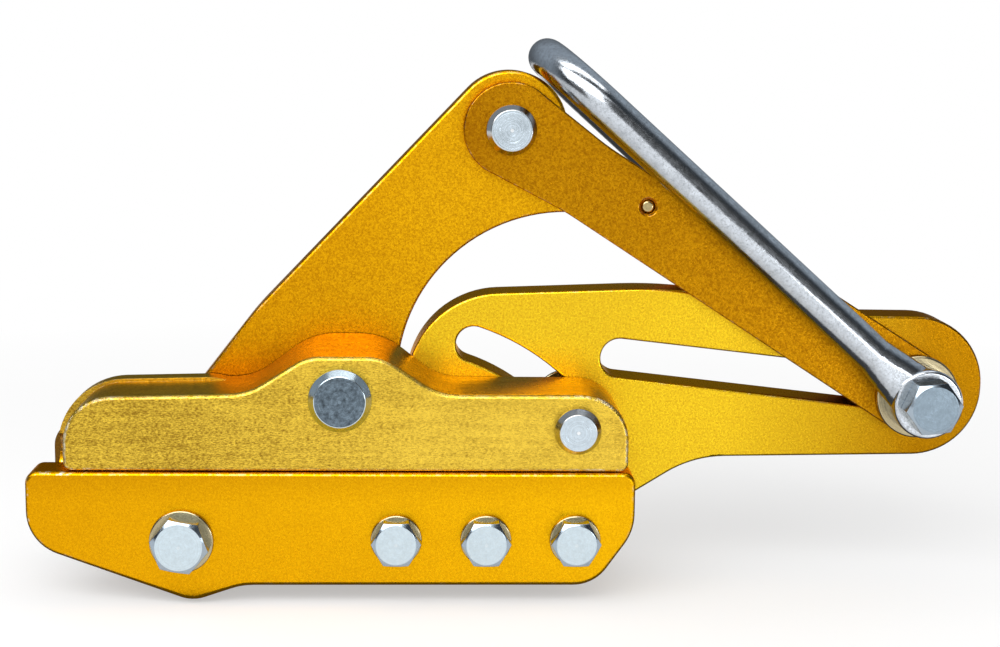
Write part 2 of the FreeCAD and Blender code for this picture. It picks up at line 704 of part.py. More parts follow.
def make_tail_plate():
    body = new_body("tail_plate")
    sketch = new_sketch(body, "TailOutline", "XZ_Plane", plate_back)
    draw_outline(sketch, tail_outline())
    pad(body, sketch, "TailBlank", size.plate_thickness)
    slot_front = jaw_back - CUT_MARGIN
    half_width = size.slot_width * HALF
    slot = new_sketch(body, "LongSlotSketch", "XZ_Plane", slot_front)
    along = (cosine(size.slot_slope), -sine(size.slot_slope))
    normal = (sine(size.slot_slope), cosine(size.slot_slope))
    far = (
        size.pull_ahead + along[0] * (half_width - size.pull_bolt_diameter * HALF),
        size.pull_rise + along[1] * (half_width - size.pull_bolt_diameter * HALF),
    )
    near = (far[0] - along[0] * size.slot_length, far[1] - along[1] * size.slot_length)
    draw_outline(slot, [
        (near[0] + normal[0] * half_width, near[1] + normal[1] * half_width, None),
        (far[0] + normal[0] * half_width, far[1] + normal[1] * half_width, None),
        (far[0] - normal[0] * half_width, far[1] - normal[1] * half_width, None),
        (near[0] - normal[0] * half_width, near[1] - normal[1] * half_width, None),
    ])
    cut_through(body, slot, "LongSlot")
    cut_holes(body, "LongSlotNear", jaw_back, [(near, half_width)])
    cut_holes(body, "LongSlotFar", jaw_back, [(far, half_width)])
    centre, radius, rest = guide_arc()
    pin_room = size.guide_pin_diameter * HALF + size.guide_radius_fit
    first = rest - size.guide_start
    last = rest + size.guide_sweep
    guide = new_sketch(body, "GuideSlotSketch", "XZ_Plane", slot_front)
    draw_ring_sector(guide, centre, radius - pin_room, radius + pin_room, first, last)
    cut_through(body, guide, "GuideSlot")
    for name, angle in (("GuideSlotStart", first), ("GuideSlotEnd", last)):
        place = (centre[0] + radius * cosine(angle), centre[1] + radius * sine(angle))
        plate = cut_holes(body, name, jaw_back, [(place, pin_room)])
    round_edges(body, plate, "TailRounding", [jaw_back, plate_back], size.plate_edge_round)
    cut_holes(body, "TailBolts", jaw_back, plate_bolt_holes())


def jaw_outline(hump, hump_round):
    """Outline of the moving jaw; the hump is higher and rounder at the back."""
    return [
        (-size.jaw_left, size.jaw_seam, size.jaw_foot_round),
        (-size.jaw_left, size.jaw_flat_left, size.jaw_end_round),
        (-size.hump_foot_left, size.jaw_flat_height, size.hump_foot_round),
        (-size.hump_top_left, hump, hump_round),
        (size.hump_top_right, hump, hump_round),
        (size.hump_foot_right, size.jaw_flat_height, size.hump_foot_round),
        (size.jaw_right, size.jaw_flat_height, size.jaw_nose_round),
        (size.jaw_right, size.jaw_seam, size.jaw_foot_round),
    ]


def make_upper_jaw():
    body = new_body("upper_jaw")
    rear_hump = size.hump_height + size.hump_rear_rise
    start = front_face + size.jaw_straight_depth
    face = new_sketch(body, "JawFaceOutline", "XZ_Plane", start)
    draw_outline(face, jaw_outline(size.hump_height, size.hump_top_round))
    plate = pad(body, face, "JawFace", size.jaw_straight_depth)
    round_edges(body, plate, "JawRounding", [front_face], size.edge_round)
    front = new_sketch(body, "JawFrontOutline", "XZ_Plane", start)
    draw_outline(front, jaw_outline(size.hump_height, size.hump_top_round))
    back = new_sketch(body, "JawBackOutline", "XZ_Plane", moving_jaw_back)
    draw_outline(back, jaw_outline(rear_hump, size.hump_rear_round))
    block = body.newObject("PartDesign::AdditiveLoft", "JawBlock")
    block.Profile = front
    block.Sections = [back]
    block.Ruled = True
    flange = new_sketch(body, "JawFlangeOutline", "XZ_Plane", moving_jaw_back)
    draw_outline(flange, [
        (-size.flange_left, size.jaw_seam, size.flange_foot_round),
        (-size.flange_left, size.flange_flat_left, size.flange_end_round),
        (-size.hump_foot_left, size.flange_flat_height, size.hump_foot_round),
        (-size.hump_foot_left + size.flange_lap, size.jaw_seam, None),
    ])
    pad(body, flange, "JawFlange", size.flange_depth)
    cut_cable_groove(body, "JawGroove")
    cut_holes(body, "JawHoles", front_face, [
        (jaw_pivot, size.jaw_pin_diameter * HALF + size.pin_fit),
        (guide_pivot, size.guide_pin_diameter * HALF + size.pin_fit),
    ])


def make_lever():
    body = new_body("lever")
    slope = size.lever_slope
    head = (
        size.top_ahead - size.lever_end_radius * sine(slope),
        size.top_rise + size.lever_end_radius * cosine(slope),
    )
    bend = (
        head[0] - size.lever_edge_length * cosine(slope),
        head[1] - size.lever_edge_length * sine(slope),
    )
    sketch = new_sketch(body, "LeverOutline", "XZ_Plane", lever_back)
    draw_outline(sketch, [
        (head[0], head[1], None),
        (bend[0], bend[1], size.lever_edge_round),
        (-size.lever_waist_back, size.lever_waist_rise, size.lever_waist_round),
        (fulcrum[0] - size.lever_hub_radius, fulcrum[1], None),
        (fulcrum[0], fulcrum[1] - size.lever_hub_radius, None),
        (fulcrum[0] + size.lever_hub_radius * cosine(size.lever_heel_turn),
         fulcrum[1] - size.lever_hub_radius * sine(size.lever_heel_turn), None),
        (size.lever_bay_left, size.lever_knee_rise, size.lever_knee_round),
        (size.lever_bay_left, size.lever_bay_top, size.lever_bay_radius),
        (size.lever_tip_ahead, size.lever_bay_top, size.lever_tip_round),
        (size.top_ahead + size.lever_end_radius * cosine(size.lever_tip_lead),
         size.top_rise + size.lever_end_radius * sine(size.lever_tip_lead), None),
    ])
    thickness = lever_back - lever_front
    pad(body, sketch, "LeverBlank", thickness)
    hub = new_sketch(body, "LeverHubSketch", "XZ_Plane", lever_back)
    draw_circle(hub, fulcrum[0], fulcrum[1], size.lever_hub_radius)
    pad(body, hub, "LeverHub", thickness)
    end = new_sketch(body, "LeverEndSketch", "XZ_Plane", lever_back)
    draw_circle(end, top_pivot[0], top_pivot[1], size.lever_end_radius)
    blank = pad(body, end, "LeverEnd", thickness)
    round_edges(body, blank, "LeverRounding", [lever_front, lever_back],
                size.lever_edge_round_off)
    cut_holes(body, "LeverHoles", lever_front, [
        (fulcrum, size.fulcrum_diameter * HALF + size.pin_fit),
        (jaw_pivot, size.jaw_pin_diameter * HALF + size.pin_fit),
        (top_pivot, size.top_pin_diameter * HALF + size.pin_fit),
    ])


link_across = size.pull_ahead - size.top_ahead
link_down = size.top_rise - size.pull_rise
link_length = length_of(link_across, link_down)
link_angle = angle_of(link_across, link_down)


def lay_along_link(body):
    """Put a body drawn along X with its origin at the top pin onto the link's line."""
    body.Placement = Placement(
        Vector(size.top_ahead.value, 0, size.top_rise.value),
        Rotation(Vector(0, 1, 0), link_angle.value))
    bind(body, "Placement.Base.x", size.top_ahead)
    bind(body, "Placement.Base.z", size.top_rise)
    bind(body, "Placement.Rotation.Angle", link_angle)


def make_link(label, front, outer_is_front):
    """One pull link; its lower hole is long across the link, where the linkage is open."""
    body = new_body(label)
    back = front + size.link_thickness
    sketch = new_sketch(body, label + "Outline", "XZ_Plane", back)
    taper = size.link_taper_run
    draw_outline(sketch, [
        (ZERO, size.link_head_radius, None),
        (taper, size.link_half_width, size.link_taper_round),
        (link_length, size.link_foot_radius, None),
        (link_length, -size.link_foot_radius, None),
        (taper, -size.link_half_width, size.link_taper_round),
        (ZERO, -size.link_head_radius, None),
    ])
    pad(body, sketch, label + "Bar", size.link_thickness)
    head = new_sketch(body, label + "HeadSketch", "XZ_Plane", back)
    draw_circle(head, ZERO, ZERO, size.link_head_radius)
    pad(body, head, label + "Head", size.link_thickness)
    foot = new_sketch(body, label + "FootSketch", "XZ_Plane", back)
    draw_circle(foot, link_length, ZERO, size.link_foot_radius)
    blank = pad(body, foot, label + "Foot", size.link_thickness)
    round_edges(body, blank, label + "Rounding", [front, back], size.link_edge_round)
    spacer = (size.spacer_along, size.spacer_across)
    cut_holes(body, label + "Holes", front, [
        ((ZERO, ZERO), size.top_pin_diameter * HALF + size.pin_fit),
        (spacer, size.spacer_diameter * HALF + size.pin_fit),
    ])
    bolt_radius = size.pull_bolt_diameter * HALF
    half_long = bolt_radius + size.foot_slip_across
    half_wide = bolt_radius + size.foot_slip_along
    rounding = half_wide - size.foot_slip_flat
    slip = new_sketch(body, label + "SlipSketch", "XZ_Plane", front - CUT_MARGIN)
    draw_outline(slip, [
        (link_length - half_wide, half_long, rounding),
        (link_length + half_wide, half_long, rounding),
        (link_length + half_wide, -half_long, rounding),
        (link_length - half_wide, -half_long, rounding),
    ])
    cut_through(body, slip, label + "Slip")
    sink_radius = size.spacer_sink_diameter * HALF
    hole_radius = size.spacer_diameter * HALF
    sink_depth = sink_radius - hole_radius
    face = front if outer_is_front else back
    inward = 1.0 if outer_is_front else -1.0
    sink = new_sketch(body, label + "SinkSketch", "XY_Plane", size.spacer_across)
    draw_outline(sink, [
        (size.spacer_along, face - inward * CUT_OVERLAP, None),
        (size.spacer_along + sink_radius, face - inward * CUT_OVERLAP, None),
        (size.spacer_along + sink_radius, face, None),
        (size.spacer_along + hole_radius, face + inward * sink_depth, None),
        (size.spacer_along, face + inward * sink_depth, None),
    ])
    groove = body.newObject("PartDesign::Groove", label + "Sink")
    groove.Profile = sink
    axis = sink.addGeometry(Part.LineSegment(
        Vector(size.spacer_along.value, front.value, 0),
        Vector(size.spacer_along.value, back.value, 0)), True)
    fix_point(sink, axis, 1, size.spacer_along, front)
    fix_point(sink, axis, 2, size.spacer_along, back)
    groove.ReferenceAxis = (sink, ["Axis0"])
    groove.Angle = FULL_TURN.value
    lay_along_link(body)


def make_spacer_pin():
    """Shouldered pin that keeps the two links apart."""
    body = new_body("link_spacer_pin")
    end_radius = size.spacer_diameter * HALF
    shoulder = size.spacer_body_diameter * HALF
    sketch = new_sketch(body, "SpacerProfile", "XY_Plane", size.spacer_across)
    front = front_link_front + size.spacer_recess
    back = rear_link_back - size.spacer_recess
    dome = end_radius * HALF
    left = size.spacer_along
    draw_outline(sketch, [
        (left, front, None),
        (left + end_radius, front, dome),
        (left + end_radius, front_link_back, None),
        (left + shoulder, front_link_back, None),
        (left + shoulder, rear_link_front, None),
        (left + end_radius, rear_link_front, None),
        (left + end_radius, back, dome),
        (left, back, None),
    ])
    axis = sketch.addGeometry(Part.LineSegment(
        Vector(left.value, front.value, 0), Vector(left.value, back.value, 0)), True)
    fix_point(sketch, axis, 1, left, front)
    fix_point(sketch, axis, 2, left, back)
    feature = body.newObject("PartDesign::Revolution", "SpacerPin")
    feature.Profile = sketch
    feature.ReferenceAxis = (sketch, ["Axis0"])
    feature.Angle = FULL_TURN.value
    lay_along_link(body)


def make_bow_neck(body, name, middle_place):
    """Widening of the rod where it runs into an eye."""
    rod = size.bow_rod_diameter * HALF
    half_depth = size.eye_width * HALF - size.neck_inset
    sections = []
    for place, depth, width, rounding in (
            (size.neck_start, rod, rod, rod - size.neck_flat),
            (size.neck_end, half_depth, size.neck_half_width, size.neck_round)):
        section = new_sketch(body, name + "Section" + str(len(sections)), "YZ_Plane", place)
        draw_outline(section, [
            (middle_place - depth, width, rounding),
            (middle_place + depth, width, rounding),
            (middle_place + depth, -width, rounding),
            (middle_place - depth, -width, rounding),
        ])
        sections.append(section)
    neck = body.newObject("PartDesign::AdditiveLoft", name)
    neck.Profile = sections[0]
    neck.Sections = sections[1:]
    neck.Ruled = True


def make_bow():
    """Bent round rod with a turned eye at each end, folded back over the lever."""
    body = new_body("bow")
    span = bow_half_span
    rod = size.bow_rod_diameter * HALF
    straight = size.bow_length - span
    start = size.eye_radius * HALF
    path = new_sketch(body, "BowPath", "XY_Plane", ZERO)
    first = path.addGeometry(Part.LineSegment(
        Vector(start.value, -span.value, 0), Vector(straight.value, -span.value, 0)))
    circle = Part.Circle(Vector(straight.value, 0, 0), Vector(0, 0, 1), span.value)
    bend = path.addGeometry(Part.ArcOfCircle(circle, -math.pi / 2, math.pi / 2))
    last = path.addGeometry(Part.LineSegment(
        Vector(straight.value, span.value, 0), Vector(start.value, span.value, 0)))
    fix_point(path, first, 1, start, -span)
    fix_point(path, first, 2, straight, -span)
    path.addConstraint(Sketcher.Constraint("Coincident", bend, 1, first, 2))
    path.addConstraint(Sketcher.Constraint("Coincident", bend, 2, last, 1))
    fix_point(path, bend, 3, straight, ZERO)
    fix_point(path, last, 2, start, span)
    level = path.addConstraint(
        Sketcher.Constraint("DistanceX", -1, 1, last, 1, straight.value))
    bind(path, "Constraints[" + str(level) + "]", straight)
    profile = new_sketch(body, "BowSection", "YZ_Plane", start)
    draw_circle(profile, -span, ZERO, rod)
    pipe = body.newObject("PartDesign::AdditivePipe", "BowRod")
    pipe.Profile = profile
    pipe.Spine = (path, ["Edge1", "Edge2", "Edge3"])
    width = size.eye_width
    for name, middle_place in (("BowEyeFront", -span), ("BowEyeBack", span)):
        eye = new_sketch(body, name + "Sketch", "XZ_Plane", middle_place + width * HALF)
        draw_circle(eye, ZERO, ZERO, size.eye_radius)
        feature = pad(body, eye, name, width)
        outer = middle_place - width * HALF
        if name == "BowEyeBack":
            outer = middle_place + width * HALF
        round_edges(body, feature, name + "Rounding", [outer], size.eye_edge_round)
        make_bow_neck(body, name + "Neck", middle_place)
    bore_radius = size.pull_bolt_diameter * HALF + size.pin_fit
    reach = span + width
    cut_holes(body, "BowBore", -reach, [((ZERO, ZERO), bore_radius)])
    body.Placement = Placement(
        Vector(size.pull_ahead.value, middle.value, size.pull_rise.value),
        Rotation(Vector(0, -1, 0), size.bow_angle.value))
    bind(body, "Placement.Base.x", size.pull_ahead)
    bind(body, "Placement.Base.y", middle)
    bind(body, "Placement.Base.z", size.pull_rise)
    bind(body, "Placement.Rotation.Angle", size.bow_angle)


def make_washer(label, place, front, thickness, inner, outer):
    """Flat washer with broken outer edges."""
    body = new_body(label)
    back = front + thickness
    bevel = thickness * size.washer_bevel_share
    revolve_profile(body, label + "Ring", [
        (inner, front, None),
        (outer - bevel, front, None),
        (outer, front + bevel, None),
        (outer, back - bevel, None),
        (outer - bevel, back, None),
        (inner, back, None),
    ])
    place_body(body, place)


def make_pin(label, place, diameters, seat, held_back):
    """Pin with a bevelled head in front of its seat and a clip groove behind what it holds."""
    shank_diameter, head_diameter, face_diameter = diameters
    body = new_body(label)
    shank = shank_diameter * HALF
    head = head_diameter * HALF
    face = face_diameter * HALF
    top = seat - size.pin_head_height
    groove_front = held_back + size.retainer_thickness
    groove_back = groove_front + size.clip_thickness
    groove = shank - size.clip_depth
    end = groove_back + size.pin_tail
    bevel = size.pin_tail * size.pin_bevel_share
    revolve_profile(body, label + "Turned", [
        (ZERO, top, None),
        (face, top, None),
        (head, top + size.pin_bevel_height, None),
        (head, seat, None),
        (shank, seat, None),
        (shank, groove_front, None),
        (groove, groove_front, None),
        (groove, groove_back, None),
        (shank, groove_back, None),
        (shank, end - bevel, None),
        (shank - bevel, end, None),
        (ZERO, end, None),
    ])
    place_body(body, place)


def make_clip(label, place, shank_diameter, front):
    """Open spring clip in the groove of a pin."""
    body = new_body(label)
    shank = shank_diameter * HALF
    inner = shank - size.clip_depth + size.pin_fit
    outer = shank + size.clip_overlap
    back = front + size.clip_thickness
    revolve_profile(body, label + "Ring", [
        (inner, front, None),
        (outer, front, None),
        (outer, back, None),
        (inner, back, None),
    ], FULL_TURN - size.clip_opening)
    place_body(body, place)


def make_held_pin(prefix, place, diameters, seat, held_back):
    """Pin, washer and clip."""
    make_pin(prefix, place, diameters, seat, held_back)
    shank = diameters[0] * HALF
    make_washer(prefix + "_washer", place, held_back, size.retainer_thickness,
                shank + size.pin_fit, shank + size.retainer_overlap)
    make_clip(prefix + "_clip", place, diameters[0], held_back + size.retainer_thickness)


def make_bolt(label, place, shank_diameter, flats, head_height, seat, end, turn):
    """Hexagon bolt with its head towards the front and a bevelled end."""
    body = new_body(label)
    shank = shank_diameter * HALF
    bevel = size.bolt_tip_bevel
    revolve_profile(body, label + "Shank", [
        (ZERO, seat - head_height * HALF, None),
        (shank, seat - head_height * HALF, None),
        (shank, end - bevel, None),
        (shank - bevel, end, None),
        (ZERO, end, None),
    ])
    sketch = new_sketch(body, label + "HeadSketch", "XZ_Plane", seat)
    draw_outline(sketch, hexagon(flats, turn))
    pad(body, sketch, label + "Head", head_height)
    bevel_hexagon(body, label + "HeadBevel", flats, seat - head_height, 1.0)
    place_body(body, place)


def make_nut(label, place, shank_diameter, flats, front, height, turn):
    """Hexagon nut, bevelled on its outer face."""
    body = new_body(label)
    back = front + height
    sketch = new_sketch(body, label + "HexSketch", "XZ_Plane", back)
    draw_outline(sketch, hexagon(flats, turn))
    draw_circle(sketch, ZERO, ZERO, shank_diameter * HALF + size.pin_fit)
    pad(body, sketch, label + "Hex", height)
    bevel_hexagon(body, label + "Bevel", flats, back, -1.0)
    place_body(body, place)


def make_through_bolt(prefix, place, shank, flats, head_height, washer_radius, turn):
    """Bolt through block, plate and cheek, with a washer at each end and a nut."""
    thick = size.flat_washer_thickness
    nut_front = cheek_back + thick
    nut_height = shank * size.nut_share
    end = nut_front + nut_height + size.bolt_tail
    inner = shank * HALF + size.pin_fit
    make_bolt(prefix + "_bolt", place, shank, flats, head_height, front_face - thick, end, turn)
    make_washer(prefix + "_washer_front", place, front_face - thick, thick, inner, washer_radius)
    make_washer(prefix + "_washer_rear", place, cheek_back, thick, inner, washer_radius)
    make_nut(prefix + "_nut", place, shank, flats, nut_front, nut_height, turn)


def make_fulcrum():
    make_through_bolt("fulcrum", fulcrum, size.fulcrum_diameter, size.fulcrum_flats,
                      size.fulcrum_head_height, size.fulcrum_washer_radius, size.fulcrum_turn)


def make_plate_bolts():
    for index in range(PLATE_BOLTS):
        prefix = "plate_" + str(index + 1)
        make_through_bolt(prefix, plate_bolt_place(index), size.plate_bolt_diameter,
                          size.plate_bolt_flats, size.plate_bolt_head_height,
                          size.plate_washer_radius, ZERO)


def make_pull_bolt():
    """Bolt that carries both bow eyes and slides in the long slot."""
    shank = size.pull_bolt_diameter
    thick = size.flat_washer_thickness
    seat = front_eye_front - size.washer_gap
    washer_front = rear_eye_back + size.washer_gap
    nut_front = washer_front + thick
    nut_height = shank * size.nut_share
    end = nut_front + nut_height + size.bolt_tail
    inner = shank * HALF + size.pin_fit
    make_bolt("pull_bolt", pull_pivot, shank, size.pull_bolt_flats,
              size.pull_bolt_head_height, seat, end, size.pull_bolt_turn)
    make_washer("pull_bolt_washer", pull_pivot, washer_front, thick, inner, size.eye_radius)
    make_nut("pull_bolt_nut", pull_pivot, shank, size.pull_bolt_flats, nut_front, nut_height,
             size.pull_bolt_turn)


def make_bow_washers():
    inner = size.pull_bolt_diameter * HALF + size.pin_fit
    for label, front in (("bow_washer_front", front_bow_washer_front),
                         ("bow_washer_rear", rear_bow_washer_front)):
        make_washer(label, pull_pivot, front, size.bow_washer_thickness, inner,
                    size.bow_washer_radius)


def make_pins():
    make_held_pin("jaw_pin", jaw_pivot,
                  (size.jaw_pin_diameter, size.jaw_pin_head, size.jaw_pin_face),
                  front_face, lever_back + size.washer_gap)
    make_held_pin("guide_pin", guide_pivot,
                  (size.guide_pin_diameter, size.guide_pin_head, size.guide_pin_face),
                  front_face, plate_back + size.washer_gap)
    make_held_pin("top_pin", top_pivot,
                  (size.top_pin_diameter, size.top_pin_head, size.top_pin_face),
                  front_link_front - size.washer_gap, rear_link_back + size.washer_gap)


def check_document():
    """Stop if any object failed or any piece is empty or broken."""
    for thing in DOCUMENT.Objects:
        if "Invalid" in thing.State or "Error" in thing.State:
            raise RuntimeError(thing.Name + " failed: " + str(thing.State))
    for body in SUB_PARTS:
        if body.Shape.isNull() or not body.Shape.isValid():
            raise RuntimeError(body.Label + " has no sound shape")


def write_pieces():
    os.makedirs("parts", exist_ok=True)
    for body in SUB_PARTS:
        body.Shape.exportStep("parts/" + body.Label + ".step")


make_lower_jaw()
make_rear_cheek()
make_tail_plate()
make_upper_jaw()
make_lever()
make_link("front_link", front_link_front, True)
make_link("rear_link", rear_link_front, False)
make_spacer_pin()
make_bow()
make_pins()
make_fulcrum()
make_plate_bolts()
make_pull_bolt()
make_bow_washers()
DOCUMENT.recompute()
check_document()
write_pieces()
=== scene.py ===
"""Self-gripping conductor clamp: finished plates, bow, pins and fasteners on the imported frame."""
import json
import math

import bmesh
import bpy
from bpy.props import FloatProperty, FloatVectorProperty, PointerProperty
from mathutils import Matrix, Vector


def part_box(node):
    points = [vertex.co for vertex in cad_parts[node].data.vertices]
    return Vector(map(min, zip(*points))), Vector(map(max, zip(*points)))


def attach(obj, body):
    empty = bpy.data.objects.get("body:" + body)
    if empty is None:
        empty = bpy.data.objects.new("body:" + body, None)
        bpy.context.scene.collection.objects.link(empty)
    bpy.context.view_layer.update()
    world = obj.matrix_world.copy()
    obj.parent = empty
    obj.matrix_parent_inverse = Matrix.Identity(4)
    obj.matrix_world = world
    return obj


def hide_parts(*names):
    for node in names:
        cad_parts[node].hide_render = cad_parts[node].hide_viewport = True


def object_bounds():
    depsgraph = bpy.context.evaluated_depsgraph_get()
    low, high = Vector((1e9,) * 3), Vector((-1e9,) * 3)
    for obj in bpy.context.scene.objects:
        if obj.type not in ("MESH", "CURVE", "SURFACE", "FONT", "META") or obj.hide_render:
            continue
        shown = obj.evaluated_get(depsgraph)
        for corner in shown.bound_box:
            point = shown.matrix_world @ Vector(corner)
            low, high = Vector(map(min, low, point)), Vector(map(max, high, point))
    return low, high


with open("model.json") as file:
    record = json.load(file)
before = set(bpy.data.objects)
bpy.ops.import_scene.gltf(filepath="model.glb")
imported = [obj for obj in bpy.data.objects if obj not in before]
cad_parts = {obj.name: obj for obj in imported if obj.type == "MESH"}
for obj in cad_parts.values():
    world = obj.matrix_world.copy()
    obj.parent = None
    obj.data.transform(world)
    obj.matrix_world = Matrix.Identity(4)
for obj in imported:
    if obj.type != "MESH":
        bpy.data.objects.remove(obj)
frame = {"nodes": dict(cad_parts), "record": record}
CAD_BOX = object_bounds()
NODES = frame["nodes"]

bl_info = {
    "name": "Conductor clamp",
    "version": (1, 0, 0),
    "blender": (4, 5, 0),
    "location": "View3D > Sidebar > Clamp",
    "description": "Builds the finished pieces of a self-gripping conductor clamp",
    "category": "Add Mesh",
}

MM = 0.001
MERGE_DISTANCE = 0.002 * MM
FLAT_ANGLE = math.radians(0.6)       # faces that meet at less are one flat face
PLATE_SMOOTH = math.radians(32)      # edges of plates and bow stay sharp above this angle
STEEL_SMOOTH = math.radians(20)      # edges of bolts, nuts and pins stay sharp above this
PLATE_EDGE = math.radians(40)        # edges of plates are broken above this angle
STEEL_EDGE = math.radians(22)        # edges of bolts, nuts and pins are broken above this
THREAD_START = 20 * MM               # bolts have a thread, as bump, behind this depth
DOME_RADIUS = 2.2
FLOOR_HALF_WIDTH = 8.0
BOW_UNDERSIDE = (-0.66, 0, -0.75)    # side of the bow that gets a painted dark reflection
NO_WEAR = (-1, -2)                   # worn_end far outside the clamp

# Which body and finish each plate has, and which body each link has
PLATES = {"lower_jaw": ("frame", "block"), "rear_cheek": ("frame", "cheek"),
          "tail_plate": ("frame", "tail"), "lever": ("lever", "lever")}
LINKS = {"front_link": "links", "rear_link": "links"}
PINS = {"jaw_pin": "upper_jaw", "guide_pin": "upper_jaw", "top_pin": "lever",
        "link_spacer_pin": "links"}
FASTENER_ENDINGS = ("_bolt", "_nut", "_front", "_rear", "_washer", "_clip")


class ClampColours(bpy.types.PropertyGroup):
    """Finishes of the clamp"""
    block: FloatVectorProperty(
        name="Block gold", description="Anodised gold of the lower jaw and the rear cheek",
        subtype="COLOR", size=3, min=0, max=1, default=(0.76, 0.365, 0.002))
    # painted light: the paler gold that the lower jaw turns to towards the pulling end
    block_painted_light: FloatVectorProperty(
        name="Pale block gold", description="Gold of the lower jaw towards the pulling end",
        subtype="COLOR", size=3, min=0, max=1, default=(0.93, 0.50, 0.003))
    # painted shade: the dark brown of the rear cheek's left end
    cheek_painted_shade: FloatVectorProperty(
        name="Cheek painted shade", description="Dark brown left end of the rear cheek",
        subtype="COLOR", size=3, min=0, max=1, default=(0.17, 0.085, 0.012))
    lever: FloatVectorProperty(
        name="Lever gold", description="Anodised gold of the lever",
        subtype="COLOR", size=3, min=0, max=1, default=(0.66, 0.30, 0.002))
    # painted light: the paler gold that the lever turns to towards its top
    lever_painted_light: FloatVectorProperty(
        name="Pale lever gold", description="Gold of the lever towards its top",
        subtype="COLOR", size=3, min=0, max=1, default=(0.76, 0.40, 0.004))
    tail: FloatVectorProperty(
        name="Tail gold", description="Paler anodised gold of the tail plate",
        subtype="COLOR", size=3, min=0, max=1, default=(0.90, 0.59, 0.018))
    # painted shade: the darker gold that the tail plate turns to towards its pulling end
    tail_painted_shade: FloatVectorProperty(
        name="Deep tail gold", description="Gold of the tail plate towards its pulling end",
        subtype="COLOR", size=3, min=0, max=1, default=(0.37, 0.165, 0.001))
    link: FloatVectorProperty(
        name="Link gold", description="Browner gold of the pull links",
        subtype="COLOR", size=3, min=0, max=1, default=(0.51, 0.238, 0.003))
    jaw: FloatVectorProperty(
        name="Jaw gold", description="Yellow gold of the moving jaw",
        subtype="COLOR", size=3, min=0, max=1, default=(0.78, 0.53, 0.055))
    jaw_dull: FloatVectorProperty(
        name="Dull jaw gold", description="Olive shade in the skin of the moving jaw",
        subtype="COLOR", size=3, min=0, max=1, default=(0.28, 0.155, 0.014))
    worn: FloatVectorProperty(
        name="Worn edge", description="Bare metal where the gold is rubbed off the edges",
        subtype="COLOR", size=3, min=0, max=1, default=(0.90, 0.84, 0.66))
    zinc: FloatVectorProperty(
        name="Zinc", description="Plating of bolts, nuts and washers",
        subtype="COLOR", size=3, min=0, max=1, default=(0.62, 0.73, 0.80))
    washer: FloatVectorProperty(
        name="Washers", description="Plating tinted for the gold that the washers reflect",
        subtype="COLOR", size=3, min=0, max=1, default=(0.48, 0.41, 0.25))
    zinc_side: FloatVectorProperty(
        name="Zinc sides", description="Darker sides, for the dim surroundings they reflect",
        subtype="COLOR", size=3, min=0, max=1, default=(0.36, 0.43, 0.50))
    # painted reflection: the greyer chamfers of the turned pins
    pin_side_reflection: FloatVectorProperty(
        name="Pin sides", description="Chamfers of the turned pins",
        subtype="COLOR", size=3, min=0, max=1, default=(0.55, 0.56, 0.56))
    pin: FloatVectorProperty(
        name="Pin steel", description="Turned steel of the pins",
        subtype="COLOR", size=3, min=0, max=1, default=(0.66, 0.76, 0.84))
    dark_pin: FloatVectorProperty(
        name="Dark pin steel", description="Darker turned steel of the jaw pin",
        subtype="COLOR", size=3, min=0, max=1, default=(0.16, 0.21, 0.255))
    pull_steel: FloatVectorProperty(
        name="Pull bolt steel", description="Greyer plating of the pull bolt",
        subtype="COLOR", size=3, min=0, max=1, default=(0.29, 0.37, 0.44))
    brass: FloatVectorProperty(
        name="Spacer pin", description="Yellowed steel of the pin between the links",
        subtype="COLOR", size=3, min=0, max=1, default=(0.50, 0.40, 0.20))
    chrome: FloatVectorProperty(
        name="Chrome", description="Polished plating of the bow",
        subtype="COLOR", size=3, min=0, max=1, default=(0.72, 0.77, 0.83))


class ClampSizes(bpy.types.PropertyGroup):
    """Small sizes that only the finish has"""
    edge_break: FloatProperty(
        name="Edge break", description="Broken edge round holes and slots",
        unit="LENGTH", min=0, default=0.35 * MM)
    steel_edge: FloatProperty(
        name="Steel edge", description="Rounding on the edges of bolts, nuts and pins",
        unit="LENGTH", min=0, default=0.2 * MM)
    thread_pitch: FloatProperty(
        name="Thread pitch", description="Pitch of the thread on bolt ends",
        unit="LENGTH", min=0.2 * MM, default=1.75 * MM)


class ClampStage(bpy.types.PropertyGroup):
    """Camera, floor and light"""
    camera_place: FloatVectorProperty(
        name="Camera", description="Place of the camera", subtype="TRANSLATION", unit="LENGTH",
        size=3, default=(31.665 * MM, -757.854 * MM, 176.206 * MM))
    camera_turn: FloatProperty(
        name="Camera turn", description="Heading of the camera to the right of +Y",
        subtype="ANGLE", default=math.radians(2.61))
    camera_tilt: FloatProperty(
        name="Camera tilt", description="Downward tilt of the camera",
        subtype="ANGLE", default=math.radians(8.845))
    camera_roll: FloatProperty(
        name="Camera roll", description="Roll of the camera to the right",
        subtype="ANGLE", default=math.radians(0.752))
    focal_length: FloatProperty(
        name="Focal length", description="Focal length on a 36 mm sensor", default=65.34)
    key_power: FloatProperty(
        name="Key light", description="Strength of the large front light", default=12.0)
    fill_power: FloatProperty(
        name="Fill light", description="Strength of the light from the right", default=4.0)
    sky_level: FloatProperty(
        name="Sky", description="Level of the pale surroundings", default=0.75)
    dome_level: FloatProperty(
        name="Dome", description="Level of the dim dome round the object", default=0.38)
    overhead_level: FloatProperty(
        name="Overhead strip", description="Level of the bright strip above the object",
        default=2.0)
    dome_front: FloatProperty(
        name="Dome edge", description="Where the dome ends towards the front", unit="LENGTH",
        default=-1.35)
    card_level: FloatProperty(
        name="Cards", description="Level of the dark cards round the object", default=0.05)


def colours():
    return bpy.context.scene.clamp_colours


def sizes():
    return bpy.context.scene.clamp_sizes


def studio():
    return bpy.context.scene.clamp_stage


# Materials

